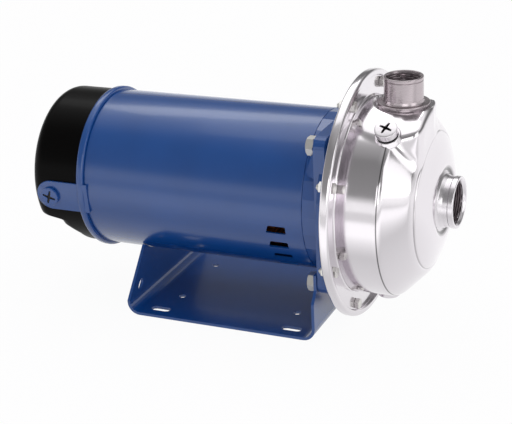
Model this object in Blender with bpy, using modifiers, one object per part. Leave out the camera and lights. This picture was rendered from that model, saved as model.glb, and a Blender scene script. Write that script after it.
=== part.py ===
"""Close-coupled end-suction centrifugal pump: a drawn stainless casing on an electric motor and a sheet foot.

Metres, +Z up. The shaft lies along X with the suction port at +X.
The origin is the middle of the foot's underside.
"""

import math

import bmesh
import bpy
from mathutils import Matrix, Vector

# Driving dimensions
AXIS_HEIGHT = 0.128
CLEARANCE = 0.0003

FOOT_LENGTH = 0.210
FOOT_WIDTH = 0.184
FOOT_SHEET = 0.003
FOOT_BEND = 0.013
FOOT_SLOT = (0.022, 0.009)
FOOT_SLOT_PLACE = (0.074, 0.077)
FOOT_HOLE_RADIUS = 0.004
FOOT_HOLE_PLACE = (0.066, 0.042)
FOOT_TO_PUMP = 0.020

SHELL_RADIUS = 0.0825
SHELL_WALL = 0.002
SHELL_LENGTH = 0.2413
SHELL_TO_PUMP = 0.0337
LOUVRE_LENGTH = 0.020
LOUVRE_HEIGHT = 0.0085
LOUVRE_FROM_PUMP = 0.062
LOUVRE_ANGLES = (102.0, 115.5, 129.0, 142.5)

SQUARE_SIDE = 0.164
SQUARE_CORNER = 0.011
SQUARE_THICKNESS = 0.0117
FACE_INSET = 0.0172
ENDSHIELD_WALL = 0.004
STUD_CIRCLE = 0.101
STUD_RADIUS = 0.00475
STUD_LENGTH = 0.0325
STUD_NUT_FLATS = 0.017
STUD_NUT_HEIGHT = 0.0085

RIM_RADIUS = 0.0861
RIM_LENGTH = 0.0083
TAB_LENGTH = 0.0475
TAB_WIDTH = 0.032
TAB_SHEET = 0.0028
TAB_ANGLE = 95.0
COVER_LENGTH = 0.0568
COVER_WALL = 0.0025
COVER_EDGE = 0.012
COVER_STEPS = ((0.036, 0.0214), (0.057, 0.0284))
COVER_SCREW_RADIUS = 0.0102
COVER_SCREW_HEAD = 0.003
COVER_SCREW_SHANK = 0.0025
COVER_SCREW_LENGTH = 0.009

STATOR_ROOM_FRONT = 0.0663
STATOR_ROOM_REAR = 0.055
ROTOR_RADIUS = 0.043
AIR_GAP = 0.0005
WINDING_RADII = (0.047, 0.066)
WINDING_LENGTH = 0.032
THROUGH_BOLT_CIRCLE = 0.072
THROUGH_BOLT_RADIUS = 0.0025

SHAFT_RADIUS = 0.013
PUMP_SHAFT_RADIUS = 0.0079
FRONT_BEARING = (0.010, 0.0235, 0.014)
REAR_BEARING = (0.0085, 0.020, 0.012)
BALL_COUNT = 8
FAN_RADIUS = 0.064
FAN_BLADES = 10

FLANGE_RADIUS = 0.1253
FLANGE_WIDTH = 0.0258
FLANGE_RIM_DEPTH = 0.0095
FLANGE_RIM_WALL = 0.006
PLATE_THICKNESS = 0.003
CASING_WALL = 0.0018
CASING_FLANGE = 0.0025
O_RING_CHAMFER = 0.0036
O_RING_RADIUS = 0.0009
DRUM_DEPTH = 0.0485
DRUM_EDGE = 0.004
CREASE_FALL = 0.0305
CREASE_X = 0.0757
FLANK_CROWN = 0.0015
DOME_RISE = 0.0117
NECK_RADIUS = 0.030
NECK_FILLET = 0.0024
CASING_DEPTH = 0.1009
CASING_BOLT_INSET = 0.0129
CASING_BOLT_COUNT = 8
CASING_BOLT_RADIUS = 0.003
CASING_BOLT_FLATS = 0.010
CASING_BOLT_HEAD = 0.0045
CASING_NUT_HEIGHT = 0.005
CASING_BOLT_SPARE = 0.0026

COLLAR_CHAMFER = 0.0010
BORE_CHAMFER = 0.0020
SUCTION_RADIUS = 0.0262
SUCTION_BORE = 0.0211
DISCHARGE_X = 0.0444
DISCHARGE_RADIUS = 0.0195
DISCHARGE_BORE = 0.0160
DISCHARGE_RISE = 0.0295
DISCHARGE_SPIGOT_WALL = 0.0025
COLLAR_DISC_RADIUS = 0.0258
COLLAR_DISC_THICKNESS = 0.0037
FLAT_RADIUS = 0.028
FLAT_DROP = 0.0035
BOSS_RADIUS = 0.0325
SKIRT_RADIUS = 0.059
SKIRT_TOP = 0.0105
BOSS_ROOT = 0.030

PLUG_HEAD_RADIUS = 0.011
PLUG_HEAD_HEIGHT = 0.0075
PLUG_SHANK_RADIUS = 0.0057
PLUG_SHANK_LENGTH = 0.0108
PLUG_SEAT = 0.0016
WASHER_THICKNESS = 0.0015
VENT_PLUG_X = 0.046
VENT_PLUG_ANGLE = 33.5
DRAIN_PLUG_X = 0.027
DRAIN_PLUG_ANGLE = 180.0

IMPELLER_ROOM = 0.0177
IMPELLER_BACK = 0.036
IMPELLER_OUTLET = 0.010
IMPELLER_SHROUD = 0.0021
IMPELLER_EYE = 0.0242
IMPELLER_SKIRT = 0.0028
IMPELLER_FRONT = 0.076
VANE_COUNT = 6
VANE_THICKNESS = 0.0024
VANE_ANGLE = 27.0
HUB_RADIUS = 0.014
HUB_BACK = 0.0248
HUB_FRONT = 0.052
WEAR_RING_LENGTH = 0.0130
WEAR_RING_WALL = 0.0036
IMPELLER_NUT_FLATS = 0.019
IMPELLER_NUT_HEIGHT = 0.0085
SEAL_SEAT_RADIUS = 0.015
SEAL_SEAT_LENGTH = 0.0054
SEAL_HEAD_LENGTH = 0.0056
SPRING_RADIUS = 0.0118
SPRING_WIRE = 0.0009
SPRING_TURNS = 4

SWITCH_SIZE = (0.034, 0.030)
SWITCH_RISE = 0.047
CAPACITOR_RADIUS = 0.018
CAPACITOR_LENGTH = 0.084
CAPACITOR_RISE = 0.046
BOARD_DROP = 0.047
BOARD_DEPTH = 0.014
BOARD_SIZE = (0.024, 0.062, 0.003)

CASING_STEPS = 32
MOTOR_STEPS = 28
ROUND_STEPS = 24
RING_STEPS = 16
SMALL_STEPS = 16
HOLE_STEPS = 8

# Places worked out from the driving dimensions
PUMP_X = FOOT_LENGTH / 2 + FOOT_TO_PUMP
SHELL_FRONT = PUMP_X - SHELL_TO_PUMP
SHELL_REAR = SHELL_FRONT - SHELL_LENGTH
SHELL_INNER = SHELL_RADIUS - SHELL_WALL
RIM_REAR = SHELL_REAR - RIM_LENGTH - CLEARANCE
SQUARE_BACK = PUMP_X - FOOT_TO_PUMP + CLEARANCE
SPIGOT_RADIUS = SHELL_INNER - CLEARANCE
COVER_FRONT = RIM_REAR - CLEARANCE
COVER_REAR = COVER_FRONT - COVER_LENGTH
TAB_INNER = SHELL_RADIUS + CLEARANCE
TAB_OUTER = TAB_INNER + TAB_SHEET
COVER_SCREW_X = RIM_REAR - TAB_LENGTH + TAB_WIDTH / 2
STATOR_FRONT = SHELL_FRONT - STATOR_ROOM_FRONT
STATOR_REAR = SHELL_REAR + STATOR_ROOM_REAR
STATOR_LENGTH = STATOR_FRONT - STATOR_REAR
FRONT_BEARING_X = PUMP_X - 0.042
REAR_BEARING_X = RIM_REAR - 0.0075
CASING_BACK = PUMP_X + PLATE_THICKNESS + CLEARANCE
DRUM_RADIUS = FLANGE_RADIUS - FLANGE_WIDTH
DRUM_INNER = DRUM_RADIUS - CASING_WALL
CREASE_RADIUS = DRUM_RADIUS - CREASE_FALL
FLAT_HEIGHT = DRUM_RADIUS - FLAT_DROP
COLLAR_DISC_HEIGHT = FLAT_HEIGHT + CLEARANCE + COLLAR_DISC_THICKNESS
DISCHARGE_HEIGHT = FLAT_HEIGHT + DISCHARGE_RISE
DISCHARGE_SPIGOT = DISCHARGE_BORE + DISCHARGE_SPIGOT_WALL
CASING_BOLT_CIRCLE = FLANGE_RADIUS - CASING_BOLT_INSET
FACE_RADIUS = CASING_BOLT_CIRCLE - FACE_INSET
IMPELLER_RADIUS = DRUM_INNER - IMPELLER_ROOM
CASING_BOLT_ANGLES = [22.5 + 360 / CASING_BOLT_COUNT * k for k in range(CASING_BOLT_COUNT)]
STUD_ANGLES = (45.0, 135.0, 225.0, 315.0)
PLUG_SEAT_RADIUS = DRUM_RADIUS + PLUG_SEAT
HOLE_GAP = CLEARANCE
CAPACITOR_X = RIM_REAR - 0.0285
PLUG_PLACES = (
    ("vent_plug", PUMP_X + VENT_PLUG_X, VENT_PLUG_ANGLE),
    ("drain_plug", PUMP_X + DRAIN_PLUG_X, DRAIN_PLUG_ANGLE),
)


def start_scene():
    for old in list(bpy.data.objects):
        bpy.data.objects.remove(old, do_unlink=True)
    scene = bpy.context.scene
    collections = []
    for name in ("centrifugal_pump", "pump_cutters"):
        collection = bpy.data.collections.new(name)
        scene.collection.children.link(collection)
        collections.append(collection)
    return collections


PARTS, CUTTERS = start_scene()


def material(name, colour, roughness, metallic):
    made = bpy.data.materials.new(name)
    made.use_nodes = True
    shader = made.node_tree.nodes["Principled BSDF"]
    shader.inputs["Base Color"].default_value = (*colour, 1.0)
    shader.inputs["Roughness"].default_value = roughness
    shader.inputs["Metallic"].default_value = metallic
    return made


BLUE_ENAMEL = material("blue_enamel", (0.035, 0.085, 0.34), 0.28, 0.0)
BLACK_ENAMEL = material("black_enamel", (0.012, 0.012, 0.013), 0.32, 0.0)
POLISHED_STAINLESS = material("polished_stainless", (0.72, 0.69, 0.68), 0.14, 1.0)
TURNED_STAINLESS = material("turned_stainless", (0.60, 0.58, 0.57), 0.26, 1.0)
ZINC_PLATE = material("zinc_plate", (0.78, 0.77, 0.74), 0.34, 1.0)
CARBON_STEEL = material("carbon_steel", (0.42, 0.42, 0.43), 0.35, 1.0)
LAMINATED_STEEL = material("laminated_steel", (0.20, 0.20, 0.21), 0.55, 0.8)
COPPER_WINDING = material("copper_winding", (0.45, 0.17, 0.07), 0.45, 0.9)
NITRILE_RUBBER = material("nitrile_rubber", (0.02, 0.02, 0.02), 0.7, 0.0)
CERAMIC = material("ceramic", (0.85, 0.83, 0.78), 0.3, 0.0)
CARBON_GRAPHITE = material("carbon_graphite", (0.05, 0.05, 0.055), 0.4, 0.2)
MOULDED_BLACK = material("moulded_black", (0.025, 0.025, 0.027), 0.5, 0.0)


def polar(radius, degrees):
    """Up and near-side parts of a point round the shaft, by its angle from the top towards the near side."""
    turn = math.radians(degrees)
    return radius * math.cos(turn), radius * math.sin(turn)


def empty(name, parent=None, location=(0, 0, 0), rotation=(0, 0, 0)):
    """A frame to hang pieces on."""
    made = bpy.data.objects.new(name, None)
    made.location = location
    made.rotation_euler = rotation
    made.parent = parent
    PARTS.objects.link(made)
    return made


# The shaft frames: local Z runs along the shaft, local X up and local Y to the near side
PUMP_AXIS = empty("pump_axis", None, (0, 0, AXIS_HEIGHT), (math.pi, -math.pi / 2, 0))
ROTOR_AXIS = empty("rotor_axis", None, (0, 0, AXIS_HEIGHT), (math.pi, -math.pi / 2, 0))


def radial_frame(name, along, degrees):
    """A frame on the shaft's line: local X runs along the shaft and local Z out at an angle from the top."""
    out_up, out_near = polar(1.0, degrees)
    out = Vector((0, -out_near, out_up))
    shaft = Vector((1, 0, 0))
    made = empty(name)
    matrix = Matrix((shaft, out.cross(shaft), out)).transposed().to_4x4()
    matrix.translation = Vector((along, 0, AXIS_HEIGHT))
    made.matrix_world = matrix
    return made


def new_object(name, mesh, parent, stuff=None, location=(0, 0, 0)):
    made = bpy.data.objects.new(name, mesh)
    made.parent = parent
    made.location = location
    if stuff is None:
        made.hide_render = True
        made.display_type = "WIRE"
        CUTTERS.objects.link(made)
    else:
        if not mesh.materials:
            mesh.materials.append(stuff)
        PARTS.objects.link(made)
    return made


def smooth(mesh):
    mesh.shade_smooth()
    mesh.set_sharp_from_angle(angle=math.radians(35))


def turned(name, points, parent, stuff=None, steps=ROUND_STEPS, location=(0, 0, 0)):
    """A solid of revolution about local Z: (height, radius) points in a closed ring, or from axis to axis."""
    area = 0.0
    for (h0, r0), (h1, r1) in zip(points, points[1:] + points[:1]):
        area += r0 * h1 - r1 * h0
    ordered = list(points) if area < 0 else list(reversed(points))
    bm = bmesh.new()
    verts = [bm.verts.new((radius, 0, height)) for height, radius in ordered]
    for first, second in zip(verts, verts[1:]):
        bm.edges.new((first, second))
    if min(radius for _, radius in points) > 0:
        bm.edges.new((verts[-1], verts[0]))
    mesh = bpy.data.meshes.new(name)
    bm.to_mesh(mesh)
    bm.free()
    made = new_object(name, mesh, parent, stuff, location)
    screw = made.modifiers.new("turn", "SCREW")
    screw.axis = "Z"
    screw.steps = steps
    screw.render_steps = steps
    screw.use_merge_vertices = True
    screw.merge_threshold = 1e-6
    screw.use_smooth_shade = True
    return made


def cylinder_mesh(name, radius, length, segments=SMALL_STEPS, start=0.0, turn=0.0):
    """A prism or cylinder along local Z from a start height."""
    bm = bmesh.new()
    place = Matrix.Translation((0, 0, start + length / 2)) @ Matrix.Rotation(turn, 4, "Z")
    bmesh.ops.create_cone(
        bm, cap_ends=True, segments=segments, radius1=radius, radius2=radius, depth=length, matrix=place
    )
    mesh = bpy.data.meshes.new(name)
    bm.to_mesh(mesh)
    bm.free()
    smooth(mesh)
    return mesh


def hexagon_mesh(name, flats, height, start=0.0):
    return cylinder_mesh(name, flats / math.sqrt(3), height, 6, start)


def box_mesh(name, size, centre):
    bm = bmesh.new()
    place = Matrix.Translation(centre) @ Matrix.Diagonal((*size, 1.0))
    bmesh.ops.create_cube(bm, size=1.0, matrix=place)
    mesh = bpy.data.meshes.new(name)
    bm.to_mesh(mesh)
    bm.free()
    return mesh


def as_mesh(obj):
    """The evaluated mesh of an object, with a curve's caps welded on."""
    bpy.context.view_layer.update()
    graph = bpy.context.evaluated_depsgraph_get()
    mesh = bpy.data.meshes.new_from_object(obj.evaluated_get(graph))
    bm = bmesh.new()
    bm.from_mesh(mesh)
    bmesh.ops.remove_doubles(bm, verts=bm.verts, dist=1e-6)
    bm.to_mesh(mesh)
    bm.free()
    return mesh


def plate_mesh(name, outline, low, high):
    """A flat plate in local XY between two heights, from its outline's points."""
    curve = bpy.data.curves.new(name, "CURVE")
    curve.dimensions = "2D"
    curve.fill_mode = "BOTH"
    curve.extrude = (high - low) / 2
    spline = curve.splines.new("POLY")
    spline.points.add(len(outline) - 1)
    for point, (x, y) in zip(spline.points, outline):
        point.co = (x, y, 0, 1)
    spline.use_cyclic_u = True
    guide = bpy.data.objects.new(name, curve)
    CUTTERS.objects.link(guide)
    mesh = as_mesh(guide)
    bpy.data.objects.remove(guide, do_unlink=True)
    bpy.data.curves.remove(curve)
    mesh.transform(Matrix.Translation((0, 0, (low + high) / 2)))
    mesh.name = name
    return mesh


def arc(centre, radius, start, end, steps):
    """Points on an arc, in degrees anticlockwise from local X."""
    points = []
    for k in range(steps + 1):
        turn = math.radians(start + (end - start) * k / steps)
        points.append((centre[0] + radius * math.cos(turn), centre[1] + radius * math.sin(turn)))
    return points


def stadium(length, width, steps=4):
    """A slot's outline, long along local X."""
    half = (length - width) / 2
    return arc((half, 0), width / 2, -90, 90, steps) + arc((-half, 0), width / 2, 90, 270, steps)


def combined(name, meshes):
    """One mesh from several that don't touch each other, for a cutter with many teeth."""
    bm = bmesh.new()
    for mesh in meshes:
        bm.from_mesh(mesh)
    whole = bpy.data.meshes.new(name)
    bm.to_mesh(whole)
    bm.free()
    return whole


def ring_of(name, mesh, radius, angles, along=0.0, turned_with=True):
    """Copies of a mesh round local Z, each moved out and, if wanted, turned to its angle."""
    copies = []
    for degrees in angles:
        copy = mesh.copy()
        up, near = polar(radius, degrees)
        turn = math.radians(degrees) if turned_with else 0.0
        copy.transform(Matrix.Translation((up, near, along)) @ Matrix.Rotation(turn, 4, "Z"))
        copies.append(copy)
    return combined(name, copies)


def boolean(obj, other, operation):
    modifier = obj.modifiers.new(operation.lower() + "_" + other.name, "BOOLEAN")
    modifier.operation = operation
    modifier.solver = "EXACT"
    modifier.object = other
    return obj


def cut(obj, *others):
    for other in others:
        boolean(obj, other, "DIFFERENCE")
    return obj


def join(obj, *others):
    for other in others:
        boolean(obj, other, "UNION")
    return obj


def keep(obj, other):
    return boolean(obj, other, "INTERSECT")


def foot_outline(points):
    """A mirror-symmetric outline in local XY from the points of its near half, given from the bottom up."""
    return points + [(-y, z) for y, z in reversed(points)]


def run_out(outer, inner, margin):
    """A point past the outer one on the line from the inner one, so that a cut clears the sheet's edge."""
    slope = (inner[1] - outer[1]) / (inner[0] - outer[0])
    return outer[0] - margin, outer[1] - margin * slope


def cradle(reach, radius):
    """The half of the round seat under the motor, from its upper end to just short of the bottom."""
    end = math.degrees(math.asin(reach / radius))
    return arc((0, AXIS_HEIGHT), radius, 270 - end, 269, 10)


def make_foot():
    """Sheet steel bent to a U, its two ends cut to carry the motor and the adapter's lower corners."""
    half = FOOT_LENGTH / 2
    path = [(-half, AXIS_HEIGHT)]
    path += arc((-half + FOOT_BEND, FOOT_BEND), FOOT_BEND, 180, 270, 6)
    path += arc((half - FOOT_BEND, FOOT_BEND), FOOT_BEND, 270, 360, 6)
    path.append((half, AXIS_HEIGHT))
    bm = bmesh.new()
    verts = [bm.verts.new((x, -FOOT_WIDTH / 2, z)) for x, z in path]
    edges = [bm.edges.new(pair) for pair in zip(verts, verts[1:])]
    sides = bmesh.ops.extrude_edge_only(bm, edges=edges)["geom"]
    across = [v for v in sides if isinstance(v, bmesh.types.BMVert)]
    bmesh.ops.translate(bm, verts=across, vec=(0, FOOT_WIDTH, 0))
    bmesh.ops.recalc_face_normals(bm, faces=bm.faces)
    mesh = bpy.data.meshes.new("foot_bracket")
    bm.to_mesh(mesh)
    bm.free()
    foot = new_object("foot_bracket", mesh, None, BLUE_ENAMEL)
    outward = mesh.polygons[len(mesh.polygons) // 2].normal.z < 0
    sheet = foot.modifiers.new("sheet", "SOLIDIFY")
    sheet.thickness = FOOT_SHEET
    sheet.offset = -1.0 if outward else 1.0
    sheet.use_even_offset = True

    seat = SHELL_RADIUS + CLEARANCE
    edge = FOOT_WIDTH / 2
    stud_up, stud_out = polar(STUD_CIRCLE, 45)
    ear = stud_out + STUD_NUT_FLATS * 0.72
    ear_top = AXIS_HEIGHT - stud_up + STUD_NUT_FLATS * 0.68
    reach = 0.6 * SHELL_RADIUS
    low = -0.01
    ear_inner = math.sqrt(seat**2 - (AXIS_HEIGHT - ear_top) ** 2)
    margin = 0.005
    rear_top = (-reach * 1.02, AXIS_HEIGHT - math.sqrt(seat**2 - reach**2))
    rear_foot = run_out((-edge, FOOT_BEND + 0.002), rear_top, margin)
    front_top = (-ear, ear_top - 0.016)
    front_foot = run_out((-edge, ear_top - 0.028), front_top, margin)
    rear = foot_outline([(-edge - margin, low), rear_foot, rear_top] + cradle(reach, seat))
    front = foot_outline(
        [(-edge - margin, low), front_foot, front_top, (-ear, ear_top)] + cradle(ear_inner, seat)
    )
    upright = Matrix.Rotation(math.pi / 2, 4, "Z") @ Matrix.Rotation(math.pi / 2, 4, "X")
    rear_mesh = plate_mesh("foot_rear_outline", rear, -FOOT_LENGTH, 0.004)
    rear_mesh.transform(upright)
    front_mesh = plate_mesh("foot_front_outline", front, 0.0, FOOT_LENGTH)
    front_mesh.transform(upright)
    outline = new_object("foot_outline", rear_mesh, None)
    join(outline, new_object("foot_front_half", front_mesh, None))
    keep(foot, outline)

    slots = []
    for sx in (-1, 1):
        for sy in (-1, 1):
            slot = plate_mesh("slot", stadium(*FOOT_SLOT), -FOOT_SHEET, 2 * FOOT_SHEET)
            slot.transform(Matrix.Translation((sx * FOOT_SLOT_PLACE[0], sy * FOOT_SLOT_PLACE[1], 0)))
            hole = cylinder_mesh("hole", FOOT_HOLE_RADIUS, 3 * FOOT_SHEET, HOLE_STEPS, -FOOT_SHEET)
            hole.transform(Matrix.Translation((sx * FOOT_HOLE_PLACE[0], sy * FOOT_HOLE_PLACE[1], 0)))
            slots += [slot, hole]
    cut(foot, new_object("foot_slots", combined("foot_slots", slots), None))

    windows = []
    for side in (-1, 1):
        window = plate_mesh("window", stadium(0.0135, 0.007), -FOOT_LENGTH / 2 - 0.01, -FOOT_LENGTH / 2 + 0.01)
        lean = Matrix.Rotation(side * -0.82, 4, "Z")
        window.transform(Matrix.Translation((side * edge * 0.72, 0.0225, 0)) @ lean)
        window.transform(upright)
        windows.append(window)
    cut(foot, new_object("foot_windows", combined("foot_windows", windows), None))

    holes = ring_of(
        "foot_stud_holes",
        cylinder_mesh("stud_hole", STUD_RADIUS + HOLE_GAP, 0.02, SMALL_STEPS, FOOT_LENGTH / 2 - 0.01),
        STUD_CIRCLE,
        STUD_ANGLES[1:3],
    )
    cut(foot, new_object("foot_stud_holes", holes, PUMP_AXIS))


def make_shell():
    """The motor's rolled steel shell, with slots in its lower sides near the pump."""
    shell = turned(
        "motor_shell",
        [
            (SHELL_REAR, SHELL_INNER),
            (SHELL_REAR, SHELL_RADIUS),
            (SHELL_FRONT, SHELL_RADIUS),
            (SHELL_FRONT, SHELL_INNER),
        ],
        PUMP_AXIS,
        BLUE_ENAMEL,
        MOTOR_STEPS,
    )
    outline = stadium(LOUVRE_LENGTH, LOUVRE_HEIGHT, 3)
    slot = plate_mesh("louvre", outline, SHELL_INNER - 0.01, SHELL_RADIUS + 0.01)
    slot.transform(Matrix.Rotation(math.pi / 2, 4, "Y"))
    angles = [side * angle for angle in LOUVRE_ANGLES for side in (1, -1)]
    slots = ring_of("louvre_slots", slot, 0.0, angles, PUMP_X - LOUVRE_FROM_PUMP)
    cut(shell, new_object("louvre_slots", slots, PUMP_AXIS))


def square_outline():
    """The adapter's square with rounded corners."""
    inset = SQUARE_SIDE / 2 - SQUARE_CORNER
    points = []
    for quarter, (sx, sy) in enumerate(((1, 1), (-1, 1), (-1, -1), (1, -1))):
        points += arc((sx * inset, sy * inset), SQUARE_CORNER, 90 * quarter, 90 * quarter + 90, 5)
    return points


def corner_web_mesh(name, spread, foot_x, corner_x):
    """The cast web from the round barrel out to a corner of the square, as the hull of its two ends."""
    bm = bmesh.new()
    for degrees in range(-spread, spread + 1, 10):
        up, near = polar(SHELL_RADIUS - ENDSHIELD_WALL / 2, 45 + degrees)
        bm.verts.new((up, near, foot_x))
        bm.verts.new((up, near, corner_x))
    half = SQUARE_SIDE / 2
    inset = half - SQUARE_CORNER
    for x, y in [(half, half * 0.5), (half * 0.5, half)] + arc((inset, inset), SQUARE_CORNER, 0, 90, 4):
        bm.verts.new((x, y, corner_x))
    hull = bmesh.ops.convex_hull(bm, input=bm.verts)
    bmesh.ops.delete(bm, geom=hull["geom_interior"], context="VERTS")
    bmesh.ops.recalc_face_normals(bm, faces=bm.faces)
    mesh = bpy.data.meshes.new(name)
    bm.to_mesh(mesh)
    bm.free()
    return mesh


def make_front_endshield():
    """The motor's front end, cast with the square adapter that the pump bolts to."""
    bearing_in, bearing_out, bearing_width = FRONT_BEARING
    pocket = bearing_out + CLEARANCE
    barrel = SHELL_FRONT + CLEARANCE
    face = PUMP_X - CLEARANCE
    web_back = PUMP_X - 0.030
    web_front = PUMP_X - 0.022
    inner = SPIGOT_RADIUS - ENDSHIELD_WALL
    chamber = 0.060
    body = turned(
        "front_endshield",
        [
            (face, FACE_RADIUS),
            (SQUARE_BACK + SQUARE_THICKNESS / 2, FACE_RADIUS),
            (SQUARE_BACK + SQUARE_THICKNESS / 2, SHELL_RADIUS),
            (barrel, SHELL_RADIUS),
            (barrel, SPIGOT_RADIUS),
            (SHELL_FRONT - 0.016, SPIGOT_RADIUS),
            (SHELL_FRONT - 0.016, inner),
            (web_back, inner),
            (web_back, pocket + 0.006),
            (FRONT_BEARING_X - 0.001, pocket + 0.006),
            (FRONT_BEARING_X - 0.001, pocket),
            (FRONT_BEARING_X + bearing_width + CLEARANCE, pocket),
            (FRONT_BEARING_X + bearing_width + CLEARANCE, bearing_in + 0.004),
            (web_front, bearing_in + 0.004),
            (web_front, chamber),
            (face, chamber),
        ],
        PUMP_AXIS,
        BLUE_ENAMEL,
        MOTOR_STEPS,
    )
    square = plate_mesh("square", square_outline(), SQUARE_BACK, SQUARE_BACK + SQUARE_THICKNESS)
    square_tool = new_object("adapter_square", square, PUMP_AXIS)
    core = cylinder_mesh("core", chamber + 0.006, 0.04, SMALL_STEPS, PUMP_X - 0.03)
    cut(square_tool, new_object("adapter_core", core, PUMP_AXIS))
    web = corner_web_mesh("corner_web", 15, barrel, SQUARE_BACK + 0.001)
    webs = ring_of("corner_webs", web, 0.0, (0, -90))
    seats = ring_of(
        "stud_seats",
        cylinder_mesh("stud_seat", STUD_NUT_FLATS * 0.64, 0.05, SMALL_STEPS, SQUARE_BACK - 0.05),
        STUD_CIRCLE,
        STUD_ANGLES,
    )
    inside = cylinder_mesh("inside", SPIGOT_RADIUS - ENDSHIELD_WALL / 2, 0.03, ROUND_STEPS, barrel - 0.001)
    web_tool = new_object("corner_webs", webs, PUMP_AXIS)
    cut(web_tool, new_object("web_inside", inside, PUMP_AXIS), new_object("stud_seats", seats, PUMP_AXIS))
    join(body, square_tool, web_tool)
    holes = ring_of(
        "stud_holes",
        cylinder_mesh("stud_hole", STUD_RADIUS + HOLE_GAP, 0.04, SMALL_STEPS, SQUARE_BACK - 0.01),
        STUD_CIRCLE,
        STUD_ANGLES,
    )
    bolts = ring_of(
        "front_bolt_holes",
        cylinder_mesh("bolt_hole", THROUGH_BOLT_RADIUS + HOLE_GAP, 0.012, HOLE_STEPS, web_back - 0.006),
        THROUGH_BOLT_CIRCLE,
        STUD_ANGLES,
    )
    stud_holes = new_object("adapter_stud_holes", holes, PUMP_AXIS)
    cut(body, stud_holes, new_object("front_bolt_holes", bolts, PUMP_AXIS))


def make_rear_endshield():
    """The motor's rear end: a rounded rim, the rear bearing's hub and two tabs for the cover."""
    bearing_in, bearing_out, bearing_width = REAR_BEARING
    pocket = bearing_out + CLEARANCE
    inner = SPIGOT_RADIUS - ENDSHIELD_WALL
    web_front = RIM_REAR + 0.005
    hub_back = REAR_BEARING_X - 0.003
    soft = 0.0025
    body = turned(
        "rear_endshield",
        [
            (REAR_BEARING_X - CLEARANCE, 0.0),
            (REAR_BEARING_X - CLEARANCE, pocket),
            (web_front + 0.003, pocket),
            (web_front + 0.003, pocket + 0.005),
            (web_front, pocket + 0.005),
            (web_front, inner),
            (SHELL_REAR + 0.010, inner),
            (SHELL_REAR + 0.010, SPIGOT_RADIUS),
            (SHELL_REAR - CLEARANCE, SPIGOT_RADIUS),
            (SHELL_REAR - CLEARANCE, RIM_RADIUS - soft),
            (SHELL_REAR - CLEARANCE - soft * 0.4, RIM_RADIUS - soft * 0.3),
            (SHELL_REAR - CLEARANCE - soft, RIM_RADIUS),
            (RIM_REAR + soft, RIM_RADIUS),
            (RIM_REAR + soft * 0.4, RIM_RADIUS - soft * 0.3),
            (RIM_REAR, RIM_RADIUS - soft),
            (RIM_REAR, pocket + 0.005),
            (hub_back, pocket + 0.005),
            (hub_back, 0.0),
        ],
        PUMP_AXIS,
        BLUE_ENAMEL,
        MOTOR_STEPS,
    )
    tube = turned(
        "tab_tube",
        [
            (RIM_REAR + RIM_LENGTH / 2, TAB_INNER),
            (RIM_REAR + RIM_LENGTH / 2, TAB_OUTER),
            (RIM_REAR - TAB_LENGTH - 0.01, TAB_OUTER),
            (RIM_REAR - TAB_LENGTH - 0.01, TAB_INNER),
        ],
        PUMP_AXIS,
        None,
        2 * MOTOR_STEPS,
    )
    tab = plate_mesh("tab", stadium(TAB_LENGTH * 2, TAB_WIDTH, 8), SHELL_INNER - 0.02, TAB_OUTER + 0.01)
    tab.transform(Matrix.Rotation(math.pi / 2, 4, "Y"))
    tabs = ring_of("tab_outlines", tab, 0.0, (TAB_ANGLE, -TAB_ANGLE), RIM_REAR)
    keep(tube, new_object("tab_outlines", tabs, PUMP_AXIS))
    hole = cylinder_mesh("tab_hole", COVER_SCREW_SHANK + HOLE_GAP, 0.03, HOLE_STEPS, TAB_INNER - 0.015)
    hole.transform(Matrix.Rotation(math.pi / 2, 4, "Y"))
    holes = ring_of("tab_holes", hole, 0.0, (TAB_ANGLE, -TAB_ANGLE), COVER_SCREW_X)
    bolts = ring_of(
        "rear_bolt_holes",
        cylinder_mesh("bolt_hole", THROUGH_BOLT_RADIUS + HOLE_GAP, 0.02, HOLE_STEPS, RIM_REAR - 0.005),
        THROUGH_BOLT_CIRCLE,
        STUD_ANGLES,
    )
    posts = []
    for near in (-0.022, 0.022):
        copy = cylinder_mesh("board_post", 0.004, BOARD_DEPTH, HOLE_STEPS, RIM_REAR - BOARD_DEPTH + 0.001)
        copy.transform(Matrix.Translation((-BOARD_DROP, near, 0)))
        posts.append(copy)
    for near in (-0.030, 0.030):
        rib = box_mesh("saddle", (0.030, 0.006, 0.024), (CAPACITOR_RISE - 0.008, near, RIM_REAR - 0.011))
        posts.append(rib)
    tool = new_object("endshield_bosses", combined("endshield_bosses", posts), PUMP_AXIS)
    room = cylinder_mesh("capacitor_room", CAPACITOR_RADIUS + CLEARANCE, 0.12, ROUND_STEPS, -0.06)
    place = Matrix.Translation((CAPACITOR_RISE, 0, CAPACITOR_X))
    room.transform(place @ Matrix.Rotation(math.pi / 2, 4, "X"))
    cut(tool, new_object("capacitor_room", room, PUMP_AXIS))
    join(body, tube, tool)
    cut(body, new_object("tab_holes", holes, PUMP_AXIS), new_object("rear_bolt_holes", bolts, PUMP_AXIS))


def cup_profile(radius, front, rear, edge):
    """A round cup's solid from its open front to its closed rear, with a rounded rear edge."""
    points = [(front, 0.0), (front, radius)]
    for k in range(5):
        turn = math.radians(90 * k / 4)
        points.append((rear + edge * (1 - math.sin(turn)), radius - edge * (1 - math.cos(turn))))
    points.append((rear, 0.0))
    return points


def step_blocks(name, wall):
    """The blocks that step the cover's rear in below the middle, moved in by a wall for its hollow."""
    blocks = []
    far = COVER_REAR - 0.02
    for drop, shallow in COVER_STEPS:
        front = COVER_REAR + shallow + wall
        size = (0.12, 2.2 * SHELL_RADIUS, front - far)
        centre = (-drop + wall - 0.06, 0, (front + far) / 2)
        blocks.append(box_mesh(name, size, centre))
    return blocks


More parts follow.
